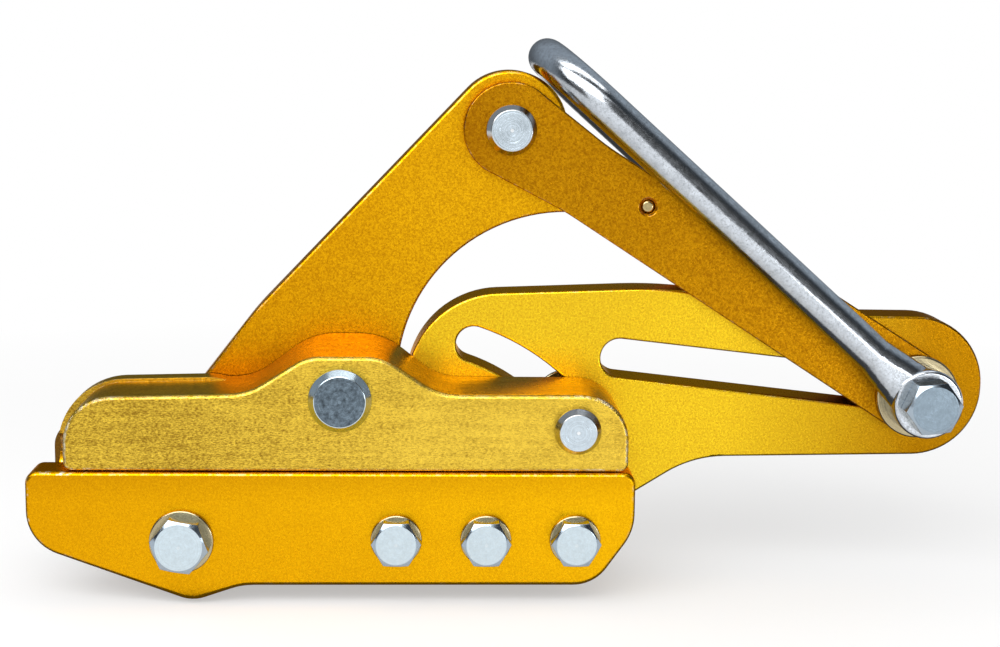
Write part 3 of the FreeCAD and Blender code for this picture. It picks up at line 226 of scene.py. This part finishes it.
class Recipe:
    """A node material with a few helpers that keep the node code short."""

    def __init__(self, name):
        self.material = bpy.data.materials.new(name)
        self.material.use_nodes = True
        self.tree = self.material.node_tree
        self.tree.nodes.clear()
        self.output = self.tree.nodes.new("ShaderNodeOutputMaterial")
        self.shader = self.tree.nodes.new("ShaderNodeBsdfPrincipled")
        self.link(self.shader.outputs["BSDF"], self.output.inputs["Surface"])
        self.coordinates = self.tree.nodes.new("ShaderNodeTexCoord").outputs["Object"]
        normal = self.tree.nodes.new("ShaderNodeNewGeometry").outputs["Normal"]
        self.facing = self.maths("ABSOLUTE", self.parts(normal)["Y"], 0.0)

    def link(self, source, target):
        self.tree.links.new(source, target)

    def node(self, kind, **settings):
        item = self.tree.nodes.new(kind)
        for key, value in settings.items():
            setattr(item, key, value)
        return item

    def feed(self, socket, value):
        """A number, a colour or another node's output into a socket."""
        if isinstance(value, (int, float, tuple, list)):
            socket.default_value = value
        else:
            self.link(value, socket)

    def parts(self, vector):
        item = self.node("ShaderNodeSeparateXYZ")
        self.link(vector, item.inputs["Vector"])
        return item.outputs

    def stretched(self, scale, shift=(0, 0, 0)):
        """Object coordinates, stretched and shifted."""
        mapping = self.node("ShaderNodeMapping")
        mapping.inputs["Scale"].default_value = scale
        mapping.inputs["Location"].default_value = shift
        self.link(self.coordinates, mapping.inputs["Vector"])
        return mapping.outputs["Vector"]

    def noise(self, vector, scale, detail=3.0, roughness=0.6):
        item = self.node("ShaderNodeTexNoise")
        item.inputs["Scale"].default_value = scale
        item.inputs["Detail"].default_value = detail
        item.inputs["Roughness"].default_value = roughness
        self.link(vector, item.inputs["Vector"])
        return item.outputs["Fac"]

    def ramp(self, value, low, high, low_out=0.0, high_out=1.0):
        item = self.node("ShaderNodeMapRange")
        item.inputs["From Min"].default_value = low
        item.inputs["From Max"].default_value = high
        item.inputs["To Min"].default_value = low_out
        item.inputs["To Max"].default_value = high_out
        self.link(value, item.inputs["Value"])
        return item.outputs["Result"]

    def maths(self, operation, first, second):
        item = self.node("ShaderNodeMath", operation=operation)
        self.feed(item.inputs[0], first)
        self.feed(item.inputs[1], second)
        return item.outputs["Value"]

    def mix(self, factor, first, second):
        item = self.node("ShaderNodeMix", data_type="RGBA")
        for name, value in (("Factor", factor), ("A", first), ("B", second)):
            self.feed([s for s in item.inputs if s.name == name and s.enabled][0], value)
        return [s for s in item.outputs if s.enabled][0]

    def bump(self, height, strength, distance):
        item = self.node("ShaderNodeBump")
        item.inputs["Strength"].default_value = strength
        item.inputs["Distance"].default_value = distance
        self.link(height, item.inputs["Height"])
        return item.outputs["Normal"]

    def fillet(self):
        """1 on rounded edges, where the surface turns from the front or rear to the side."""
        inner = self.ramp(self.facing, 0.985, 0.90)
        outer = self.ramp(self.facing, 0.1, 0.3)
        return self.maths("MULTIPLY", inner, outer)

    def set(self, name, value):
        self.feed(self.shader.inputs[name], value)


def shade(colour, factor):
    return tuple(min(1.0, channel * factor) for channel in colour) + (1.0,)


def deepened(colour, amount):
    """The colour darker and redder, as gold is in a hollow."""
    red, green, blue = colour
    return (red * (1 - amount), green * (1 - 1.3 * amount), blue * (1 - amount), 1.0)


def gold_finish(name, colour, grain, far_colour, painted_light_turn, worn_end=NO_WEAR, darker_bands=()):
    """Anodised aluminium with a blasted grain, soft clouds, darker bands, rubbed edges and
    painted light and shade.

    painted_light_turn says where along X the colour turns to the far one, a turn of painted light
    and shade, and worn_end where the wear grows. A darker band is an axis, where it starts and is
    full there, and its strength. These follow the brightness in the photograph, and some of it
    may be light and not colour.
    """
    recipe = Recipe(name)
    plain = recipe.stretched((1, 1, 1))
    clouds = recipe.ramp(recipe.noise(plain, 24.0, 4.0), 0.3, 0.7)
    sand = recipe.noise(plain, 1150.0, 3.0, 0.75)
    dents = recipe.noise(plain, 420.0, 2.0)
    speckle = recipe.ramp(sand, 0.36, 0.64)
    base, far = (recipe.mix(speckle, deepened(gold, 0.75 * grain), shade(gold, 1 + 0.5 * grain))
                 for gold in (colour, far_colour))
    along = recipe.maths("ADD", recipe.parts(plain)["X"],
                         recipe.ramp(clouds, 0, 1, -4 * MM, 4 * MM))
    # painted light and shade: the colour turns to the far one along X
    base = recipe.mix(recipe.ramp(along, *painted_light_turn), base, far)
    base = recipe.mix(recipe.ramp(clouds, 0, 1, 0.16, 0.0), base, deepened(colour, 0.4))
    # darker bands, each along an axis
    for axis, clear, full, amount in darker_bands:
        place = recipe.maths("ADD", recipe.parts(plain)[axis],
                             recipe.ramp(clouds, 0, 1, -3 * MM, 3 * MM))
        base = recipe.mix(recipe.ramp(place, clear, full, 0.0, amount), base,
                          deepened(colour, 0.6))
    rubbed = recipe.ramp(recipe.noise(plain, 330.0, 5.0, 0.7), 0.50, 0.66)
    wear = recipe.maths("MULTIPLY", recipe.fillet(), rubbed)
    amount = recipe.ramp(along, *worn_end, 0.22, 0.95)
    base = recipe.mix(recipe.maths("MULTIPLY", wear, amount), base, shade(colours().worn, 1.0))
    recipe.set("Base Color", base)
    recipe.set("Metallic", 1.0)
    recipe.set("Specular Tint", (0.85, 0.46, 0.06, 1.0))
    recipe.set("Roughness", recipe.ramp(sand, 0.3, 0.7, 0.34, 0.24))
    height = recipe.maths("ADD", sand, recipe.maths("MULTIPLY", dents, 0.6))
    recipe.set("Normal", recipe.bump(height, 0.25 + 0.5 * grain, 0.10 * MM))
    return recipe.material


def jaw_finish():
    """Forged skin of the moving jaw: fine specks, faint streaks, ends rubbed bare, and painted
    light that turns it lighter towards its right end.
    """
    palette = colours()
    recipe = Recipe("jaw_gold")
    plain = recipe.stretched((1, 1, 1))
    specks = recipe.noise(recipe.stretched((0.42, 1, 1.1)), 1900.0, 3.0, 0.8)
    blots = recipe.noise(plain, 620.0, 4.0, 0.7)
    streaks = recipe.noise(recipe.stretched((0.12, 1, 1.6)), 260.0, 5.0, 0.7)
    clouds = recipe.noise(plain, 42.0, 3.0)
    along = recipe.parts(plain)["X"]
    calm = recipe.ramp(along, -0.06, 0.08, 1.0, 0.6)
    level = recipe.maths("MULTIPLY", recipe.ramp(specks, 0.30, 0.70, -0.5, 0.5), calm)
    level = recipe.maths("ADD", level, 0.5)
    # The last part is painted light, which turns the jaw lighter towards its right end.
    for part, spread in ((recipe.ramp(blots, 0.35, 0.65, -1.0, 1.0), 0.11),
                         (recipe.ramp(streaks, 0.35, 0.65, -1.0, 1.0), 0.11),
                         (recipe.ramp(clouds, 0.35, 0.65, -1.0, 1.0), 0.07),
                         (recipe.ramp(along, -0.12, 0.06, -1.0, 1.0), 0.13)):
        level = recipe.maths("ADD", level, recipe.maths("MULTIPLY", part, spread))
    base = recipe.mix(recipe.ramp(level, 0.10, 0.84), shade(palette.jaw_dull, 1.0),
                      shade(palette.jaw, 1.15))
    rubbed = recipe.ramp(recipe.noise(plain, 300.0, 6.0, 0.75), 0.44, 0.58)
    ends = recipe.ramp(recipe.maths("ABSOLUTE", along, 0.0), 0.085, 0.108, 0.15, 1.0)
    wear = recipe.maths("MULTIPLY", recipe.maths("MULTIPLY", recipe.fillet(), rubbed), ends)
    base = recipe.mix(recipe.maths("MULTIPLY", wear, 0.85), base, shade(palette.worn, 0.95))
    recipe.set("Base Color", base)
    recipe.set("Metallic", 1.0)
    recipe.set("Specular Tint", (0.95, 0.72, 0.36, 1.0))
    recipe.set("Roughness", recipe.ramp(level, 0.1, 0.9, 0.38, 0.24))
    height = recipe.maths("ADD", specks, recipe.maths("MULTIPLY", blots, 0.8))
    height = recipe.maths("ADD", height, recipe.maths("MULTIPLY", wear, 1.5))
    recipe.set("Normal", recipe.bump(height, 0.6, 0.11 * MM))
    return recipe.material


def turned_finish(name, face, side, axis, ring_depth, mottle, thread_from=None):
    """Turned or plated steel: rings on its end faces, a colour of its own for its sides, which
    for bolts, nuts and pins is a painted reflection, and a thread with painted shade in its
    grooves on what lies behind thread_from."""
    recipe = Recipe(name)
    plain = recipe.stretched((1, 1, 1))
    centred = recipe.stretched((1, 0, 1), shift=(-axis[0], 0, -axis[1]))
    length = recipe.node("ShaderNodeVectorMath", operation="LENGTH")
    recipe.link(centred, length.inputs[0])
    radius = length.outputs["Value"]
    rings = recipe.node("ShaderNodeTexNoise", noise_dimensions="1D")
    rings.inputs["Scale"].default_value = 1700.0
    rings.inputs["Detail"].default_value = 3.0
    rings.inputs["Roughness"].default_value = 0.7
    recipe.link(radius, rings.inputs["W"])
    on_end = recipe.ramp(recipe.facing, 0.95, 0.99)
    ring_level = recipe.maths("MULTIPLY", on_end, recipe.ramp(rings.outputs["Fac"], 0.34, 0.66))
    clouds = recipe.ramp(recipe.noise(plain, 520.0, 5.0, 0.8), 0.34, 0.66)
    base = recipe.mix(clouds, shade(face, 1 - mottle), shade(face, 1 + 0.6 * mottle))
    base = recipe.mix(recipe.maths("MULTIPLY", ring_level, ring_depth), base, shade(face, 0.5))
    dot = recipe.maths("MULTIPLY", on_end, recipe.ramp(radius, 0.9 * MM, 0.5 * MM))
    base = recipe.mix(recipe.maths("MULTIPLY", dot, 1.5 * ring_depth), base, shade(face, 1.7))
    base = recipe.mix(on_end, shade(side, 1.0), base)
    height = recipe.maths("ADD", recipe.maths("MULTIPLY", ring_level, ring_depth),
                          recipe.maths("MULTIPLY", clouds, 0.12))
    if thread_from is not None:
        pitch = sizes().thread_pitch
        depth = recipe.parts(plain)["Y"]
        threaded = recipe.maths("MULTIPLY", recipe.ramp(on_end, 0, 1, 1, 0),
                                recipe.ramp(depth, thread_from, thread_from + 0.2 * MM))
        groove = recipe.ramp(recipe.maths("PINGPONG", depth, pitch / 2), pitch / 2, 0)
        groove = recipe.maths("MULTIPLY", threaded, groove)
        # painted shade: the thread's grooves are darkened
        base = recipe.mix(recipe.maths("MULTIPLY", groove, 0.7), base, shade(side, 0.3))
        height = recipe.maths("SUBTRACT", height, recipe.maths("MULTIPLY", groove, 9.0))
    recipe.set("Base Color", base)
    recipe.set("Metallic", 1.0)
    recipe.set("Specular Tint", (0.80, 0.76, 0.68, 1.0))
    recipe.set("Roughness", recipe.ramp(clouds, 0, 1, 0.13, 0.22))
    recipe.set("Normal", recipe.bump(height, 0.6, 0.08 * MM))
    return recipe.material


def chrome_finish():
    """Polished plating with a soft waviness, mottled dull stretches, small specks and a painted
    dark reflection on its lower left side.
    """
    colour = colours().chrome
    recipe = Recipe("bow_chrome")
    plain = recipe.stretched((1, 1, 1))
    waves = recipe.noise(plain, 75.0, 3.0)
    specks = recipe.noise(plain, 900.0, 4.0, 0.8)
    mottle = recipe.noise(plain, 240.0, 5.0, 0.75)
    base = recipe.mix(recipe.ramp(specks, 0.50, 0.68), shade(colour, 1.1), shade(colour, 0.6))
    base = recipe.mix(recipe.ramp(mottle, 0.38, 0.70, 0.0, 0.55), base, shade(colour, 0.45))
    under = recipe.node("ShaderNodeVectorMath", operation="DOT_PRODUCT")
    recipe.link(recipe.tree.nodes.new("ShaderNodeTexCoord").outputs["Normal"], under.inputs[0])
    under.inputs[1].default_value = BOW_UNDERSIDE
    # Not wear: this stands in for the dim surroundings that the photograph's bow reflects
    dimmed = recipe.ramp(under.outputs["Value"], 0.0, 0.85, 0.0, 0.85)
    base = recipe.mix(dimmed, base, shade(colour, 0.36))
    recipe.set("Base Color", base)
    recipe.set("Metallic", 1.0)
    recipe.set("Roughness", recipe.ramp(mottle, 0.35, 0.7, 0.10, 0.26))
    height = recipe.maths("ADD", waves, recipe.maths("MULTIPLY", specks, 0.30))
    recipe.set("Normal", recipe.bump(height, 0.45, 0.22 * MM))
    return recipe.material


MATERIALS = {}


def make_materials():
    palette = colours()
    # The lower jaw turns to painted light towards the pulling end, and is darker towards its left
    # end and along its top edge.
    MATERIALS["block"] = gold_finish("block_gold", palette.block, 0.20, palette.block_painted_light,
                                     (-0.14, 0.11), (-0.100, -0.118),
                                     (("X", -0.142, -0.166, 0.8), ("Z", -0.013, -0.001, 0.22)))
    # The rear cheek's left end is painted shade, which turns to the block gold further right.
    MATERIALS["cheek"] = gold_finish("cheek_gold", palette.cheek_painted_shade, 0.30, palette.block,
                                     (-0.112, -0.098))
    # The lever turns to painted light towards its top, and is darker low down, where it passes
    # behind the jaw.
    MATERIALS["lever"] = gold_finish("lever_gold", palette.lever, 0.42, palette.lever_painted_light,
                                     (-0.06, 0.04), darker_bands=(("Z", 0.050, 0.030, 0.4),))
    # The tail plate turns to painted shade towards its pulling end.
    MATERIALS["tail"] = gold_finish("tail_gold", palette.tail, 0.34, palette.tail_painted_shade,
                                    (0.165, 0.25))
    MATERIALS["link"] = gold_finish("link_gold", palette.link, 0.50, palette.link, (0, 1),
                                    darker_bands=(("X", 0.075, 0.052, 0.35),
                                            ("X", 0.215, 0.265, 0.35)))
    MATERIALS["jaw"] = jaw_finish()
    MATERIALS["chrome"] = chrome_finish()


# Pieces

def finish_piece(shape, name, body, material, node):
    """A bmesh becomes a piece that rides on a body and stands for a node."""
    mesh = bpy.data.meshes.new(name)
    shape.to_mesh(mesh)
    shape.free()
    mesh.materials.append(material)
    piece = bpy.data.objects.new(name, mesh)
    bpy.context.scene.collection.objects.link(piece)
    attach(piece, body)
    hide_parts(node)
    return piece


def smooth_by_angle(shape, angle):
    """Smooth faces with sharp edges where two faces meet at more than the angle."""
    for face in shape.faces:
        face.smooth = True
    for edge in shape.edges:
        edge.smooth = len(edge.link_faces) == 2 and edge.calc_face_angle(0.0) < angle


def merged_copy(node):
    """A node's shape with its loose triangles joined and its flat faces whole."""
    shape = bmesh.new()
    shape.from_mesh(NODES[node].data)
    bmesh.ops.remove_doubles(shape, verts=shape.verts, dist=MERGE_DISTANCE)
    bmesh.ops.dissolve_limit(shape, angle_limit=FLAT_ANGLE, verts=shape.verts,
                             edges=shape.edges, delimit=set())
    return shape


def break_edges(piece, width, angle):
    """A narrow live bevel on the sharp edges."""
    bevel = piece.modifiers.new("Edge break", "BEVEL")
    bevel.width = width
    bevel.segments = 2
    bevel.limit_method = "ANGLE"
    bevel.angle_limit = angle
    even = piece.modifiers.new("Flat faces shaded flat", "WEIGHTED_NORMAL")
    even.keep_sharp = True


def dress_plate(node, body, material):
    """A plate with broken edges in place of its plain node."""
    shape = merged_copy(node)
    smooth_by_angle(shape, PLATE_SMOOTH)
    piece = finish_piece(shape, node + "_finished", body, material, node)
    break_edges(piece, sizes().edge_break, PLATE_EDGE)


def dress_steel(node, body, material):
    """A turned or pressed steel piece with crisp edges in place of its plain node."""
    shape = merged_copy(node)
    smooth_by_angle(shape, STEEL_SMOOTH)
    piece = finish_piece(shape, node + "_finished", body, material, node)
    break_edges(piece, sizes().steel_edge, STEEL_EDGE)


class CLAMP_OT_plates(bpy.types.Operator):
    """Finish the lower jaw, the rear cheek, the tail plate and the lever"""
    bl_idname = "clamp.plates"
    bl_label = "Plates and lever"

    def execute(self, context):
        for node, (body, finish) in PLATES.items():
            dress_plate(node, body, MATERIALS[finish])
        return {"FINISHED"}


class CLAMP_OT_links(bpy.types.Operator):
    """Finish the two pull links"""
    bl_idname = "clamp.links"
    bl_label = "Pull links"

    def execute(self, context):
        for node, body in LINKS.items():
            dress_plate(node, body, MATERIALS["link"])
        return {"FINISHED"}


class CLAMP_OT_jaw(bpy.types.Operator):
    """Finish the moving jaw"""
    bl_idname = "clamp.jaw"
    bl_label = "Moving jaw"

    def execute(self, context):
        dress_plate("upper_jaw", "upper_jaw", MATERIALS["jaw"])
        return {"FINISHED"}


class CLAMP_OT_bow(bpy.types.Operator):
    """Finish the pull bow"""
    bl_idname = "clamp.bow"
    bl_label = "Bow"

    def execute(self, context):
        dress_plate("bow", "bow", MATERIALS["chrome"])
        return {"FINISHED"}


def node_axis(node):
    """Middle of a node seen from the front."""
    low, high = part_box(node)
    return ((low.x + high.x) / 2, (low.z + high.z) / 2)


class CLAMP_OT_pins(bpy.types.Operator):
    """Finish the three turned pins and the spacer pin"""
    bl_idname = "clamp.pins"
    bl_label = "Pins"

    def execute(self, context):
        palette = colours()
        # The jaw pin's sides take the bright zinc, a painted highlight ring round its dark face,
        # and the other pins' chamfers a painted reflection.
        finishes = {"jaw_pin": (palette.dark_pin, palette.zinc, 0.35, 0.75),
                    "link_spacer_pin": (palette.brass, palette.brass, 0.05, 0.15)}
        for node, body in PINS.items():
            face, side, rings, mottle = finishes.get(
                node, (palette.pin, palette.pin_side_reflection, 0.45, 0.12))
            material = turned_finish(node + "_steel", face, side, node_axis(node), rings,
                                     mottle)
            dress_steel(node, body, material)
        return {"FINISHED"}


class CLAMP_OT_fasteners(bpy.types.Operator):
    """Finish bolts, nuts, washers and clips"""
    bl_idname = "clamp.fasteners"
    bl_label = "Bolts, nuts, washers and clips"

    def execute(self, context):
        palette = colours()
        for body, nodes in frame["record"]["behaviour"]["bodies"].items():
            for node in nodes:
                if not node.endswith(FASTENER_ENDINGS):
                    continue
                face, side = palette.zinc, palette.zinc_side
                thread = THREAD_START if node.endswith("_bolt") else None
                if node == "pull_bolt":
                    face = palette.pull_steel
                elif not node.endswith(("_bolt", "_nut")):
                    face = side = palette.washer
                material = turned_finish(node + "_steel", face, side, node_axis(node), 0.12,
                                         0.10, thread)
                dress_steel(node, body, material)
        return {"FINISHED"}


# Stage

def add_light(name, place, aim, size_x, size_y, power):
    lamp = bpy.data.lights.new(name, "AREA")
    lamp.shape = "RECTANGLE"
    lamp.size = size_x
    lamp.size_y = size_y
    lamp.energy = power
    piece = bpy.data.objects.new(name, lamp)
    piece.location = place
    direction = Vector(aim) - Vector(place)
    piece.rotation_euler = direction.to_track_quat("-Z", "Y").to_euler()
    bpy.context.scene.collection.objects.link(piece)
    return piece


def add_camera():
    stage = studio()
    camera = bpy.data.cameras.new("camera")
    camera.lens = stage.focal_length
    camera.sensor_width = 36.0
    camera.clip_start = 0.01
    piece = bpy.data.objects.new("camera", camera)
    turn = Matrix.Rotation(-stage.camera_turn, 4, "Z")
    tilt = Matrix.Rotation(math.pi / 2 - stage.camera_tilt, 4, "X")
    roll = Matrix.Rotation(stage.camera_roll, 4, "Z")
    place = Matrix.Translation(Vector(stage.camera_place))
    piece.matrix_world = place @ turn @ tilt @ roll
    bpy.context.scene.collection.objects.link(piece)
    bpy.context.scene.camera = piece


def seen_directly(tree):
    """1 for rays from the camera, from a mirror-like surface or through glass."""
    path = tree.nodes.new("ShaderNodeLightPath")
    total = path.outputs["Is Camera Ray"]
    for name in ("Is Glossy Ray", "Is Transmission Ray"):
        larger = tree.nodes.new("ShaderNodeMath")
        larger.operation = "MAXIMUM"
        tree.links.new(total, larger.inputs[0])
        tree.links.new(path.outputs[name], larger.inputs[1])
        total = larger.outputs["Value"]
    return total


def add_world():
    """Pale surroundings that look white and light the object a little less."""
    world = bpy.data.worlds.new("surroundings")
    bpy.context.scene.world = world
    world.use_nodes = True
    tree = world.node_tree
    tree.nodes.clear()
    output = tree.nodes.new("ShaderNodeOutputWorld")
    background = tree.nodes.new("ShaderNodeBackground")
    background.inputs["Color"].default_value = (1.0, 1.0, 1.0, 1.0)
    background.inputs["Strength"].default_value = studio().sky_level
    white = tree.nodes.new("ShaderNodeBackground")
    white.inputs["Color"].default_value = (1.0, 1.0, 1.0, 1.0)
    mix = tree.nodes.new("ShaderNodeMixShader")
    tree.links.new(seen_directly(tree), mix.inputs["Fac"])
    tree.links.new(background.outputs["Background"], mix.inputs[1])
    tree.links.new(white.outputs["Background"], mix.inputs[2])
    tree.links.new(mix.outputs["Shader"], output.inputs["Surface"])


def floor_material():
    """Pale floor that keeps the shadow near the object and turns white further out."""
    recipe = Recipe("pale_floor")
    tree = recipe.tree
    recipe.set("Base Color", (0.9, 0.9, 0.9, 1.0))
    recipe.set("Roughness", 0.9)
    glow = tree.nodes.new("ShaderNodeEmission")
    glow.inputs["Color"].default_value = (1.0, 1.0, 1.0, 1.0)
    middle = (CAD_BOX[0] + CAD_BOX[1]) / 2
    centred = recipe.stretched((1, 1, 0), shift=(-middle[0], -middle[1], 0))
    length = recipe.node("ShaderNodeVectorMath", operation="LENGTH")
    recipe.link(centred, length.inputs[0])
    share = recipe.ramp(length.outputs["Value"], 0.15, 0.75, 0.45, 1.0)
    seen = recipe.maths("MULTIPLY", seen_directly(tree), share)
    mix = tree.nodes.new("ShaderNodeMixShader")
    recipe.link(seen, mix.inputs["Fac"])
    recipe.link(recipe.shader.outputs["BSDF"], mix.inputs[1])
    recipe.link(glow.outputs["Emission"], mix.inputs[2])
    recipe.link(mix.outputs["Shader"], recipe.output.inputs["Surface"])
    return recipe.material


def stage_piece(shape, name, material):
    mesh = bpy.data.meshes.new(name)
    shape.to_mesh(mesh)
    shape.free()
    mesh.materials.append(material)
    piece = bpy.data.objects.new(name, mesh)
    bpy.context.scene.collection.objects.link(piece)
    return piece


def add_floor():
    shape = bmesh.new()
    bmesh.ops.create_grid(shape, x_segments=1, y_segments=1, size=FLOOR_HALF_WIDTH)
    bmesh.ops.translate(shape, verts=shape.verts, vec=(0, 0, CAD_BOX[0][2]))
    stage_piece(shape, "floor", floor_material())


def glowing(name, level):
    """Plain material of one level, for cards that only show in reflections."""
    recipe = Recipe(name)
    glow = recipe.node("ShaderNodeEmission")
    glow.inputs["Color"].default_value = (1.0, 1.0, 1.0, 1.0)
    glow.inputs["Strength"].default_value = level
    recipe.link(glow.outputs["Emission"], recipe.output.inputs["Surface"])
    return recipe.material


def reflected_only(piece):
    """Out of the camera's view, with no shadow and no light of its own on the floor."""
    piece.visible_camera = False
    piece.visible_diffuse = False
    piece.visible_shadow = False


def add_card(name, place, aim, width, height, level):
    """Flat card that faces a point and shows in the object's reflections."""
    shape = bmesh.new()
    bmesh.ops.create_grid(shape, x_segments=1, y_segments=1, size=0.5)
    turn = (Vector(aim) - Vector(place)).to_track_quat("Z", "Y").to_matrix()
    bmesh.ops.scale(shape, verts=shape.verts, vec=(width, height, 1))
    bmesh.ops.rotate(shape, verts=shape.verts, cent=(0, 0, 0), matrix=turn)
    bmesh.ops.translate(shape, verts=shape.verts, vec=place)
    reflected_only(stage_piece(shape, name, glowing(name, level)))


def add_dome():
    """Dim dome, open and darker at the front, so that rounded edges turn dark at their rim."""
    shape = bmesh.new()
    bmesh.ops.create_uvsphere(shape, u_segments=48, v_segments=24, radius=DOME_RADIUS)
    bmesh.ops.bisect_plane(shape, geom=shape.verts[:] + shape.edges[:] + shape.faces[:],
                           dist=MERGE_DISTANCE, plane_co=(0, studio().dome_front, 0),
                           plane_no=(0, -1, 0), clear_outer=True)
    recipe = Recipe("dome")
    reach = recipe.parts(recipe.stretched((1, 1, 1)))["Y"]
    level = recipe.maths("MULTIPLY", recipe.ramp(reach, -0.6, 0.3, 0.12, 1.0),
                         recipe.ramp(reach, 1.4, 2.1, 1.0, 0.4))
    glow = recipe.node("ShaderNodeEmission")
    glow.inputs["Color"].default_value = (0.80, 0.90, 1.0, 1.0)
    recipe.link(recipe.maths("MULTIPLY", level, studio().dome_level), glow.inputs["Strength"])
    recipe.link(glow.outputs["Emission"], recipe.output.inputs["Surface"])
    reflected_only(stage_piece(shape, "dome", recipe.material))


class CLAMP_OT_stage(bpy.types.Operator):
    """Set up floor, lights and camera"""
    bl_idname = "clamp.stage"
    bl_label = "Stage"

    def execute(self, context):
        context.scene.view_settings.view_transform = "Standard"
        add_camera()
        add_world()
        add_floor()
        add_dome()
        stage = studio()
        middle = (CAD_BOX[0] + CAD_BOX[1]) / 2
        ground = CAD_BOX[0][2] + 0.3 * MM
        add_card("dark_right", (0.66, -0.84, 0.39), (0.17, 0.02, 0.10), 0.88, 0.64,
                 stage.card_level)
        add_card("dark_left", (-0.80, -0.80, 0.15), middle, 0.5, 1.0, 3 * stage.card_level)
        add_card("dark_floor", (0.07, 0.21, ground), (0.07, 0.21, 1.0), 0.9, 0.5,
                 2 * stage.card_level)
        add_card("overhead", (0.05, -0.20, 1.1), (0.05, 0, 0), 1.4, 0.35, stage.overhead_level)
        add_light("key", (-0.35, -0.80, 0.75), (0.05, 0, 0.05), 1.5, 0.7, stage.key_power)
        add_light("fill", (0.75, -0.95, 0.02), (0.05, 0, 0.0), 0.45, 0.6, stage.fill_power)
        return {"FINISHED"}


class CLAMP_PT_panel(bpy.types.Panel):
    """Pieces of the clamp"""
    bl_idname = "CLAMP_PT_panel"
    bl_label = "Conductor clamp"
    bl_space_type = "VIEW_3D"
    bl_region_type = "UI"
    bl_category = "Clamp"

    def draw(self, context):
        for operator in OPERATORS:
            self.layout.operator(operator.bl_idname)


OPERATORS = (CLAMP_OT_plates, CLAMP_OT_links, CLAMP_OT_jaw, CLAMP_OT_bow, CLAMP_OT_pins,
             CLAMP_OT_fasteners, CLAMP_OT_stage)
CLASSES = (ClampColours, ClampSizes, ClampStage) + OPERATORS + (CLAMP_PT_panel,)


def register():
    for item in CLASSES:
        bpy.utils.register_class(item)
    bpy.types.Scene.clamp_colours = PointerProperty(type=ClampColours)
    bpy.types.Scene.clamp_sizes = PointerProperty(type=ClampSizes)
    bpy.types.Scene.clamp_stage = PointerProperty(type=ClampStage)


def unregister():
    del bpy.types.Scene.clamp_stage
    del bpy.types.Scene.clamp_sizes
    del bpy.types.Scene.clamp_colours
    for item in reversed(CLASSES):
        bpy.utils.unregister_class(item)


def main():
    register()
    make_materials()
    bpy.ops.clamp.plates()
    bpy.ops.clamp.links()
    bpy.ops.clamp.jaw()
    bpy.ops.clamp.bow()
    bpy.ops.clamp.pins()
    bpy.ops.clamp.fasteners()
    bpy.ops.clamp.stage()


if __name__ == "__main__":
    main()
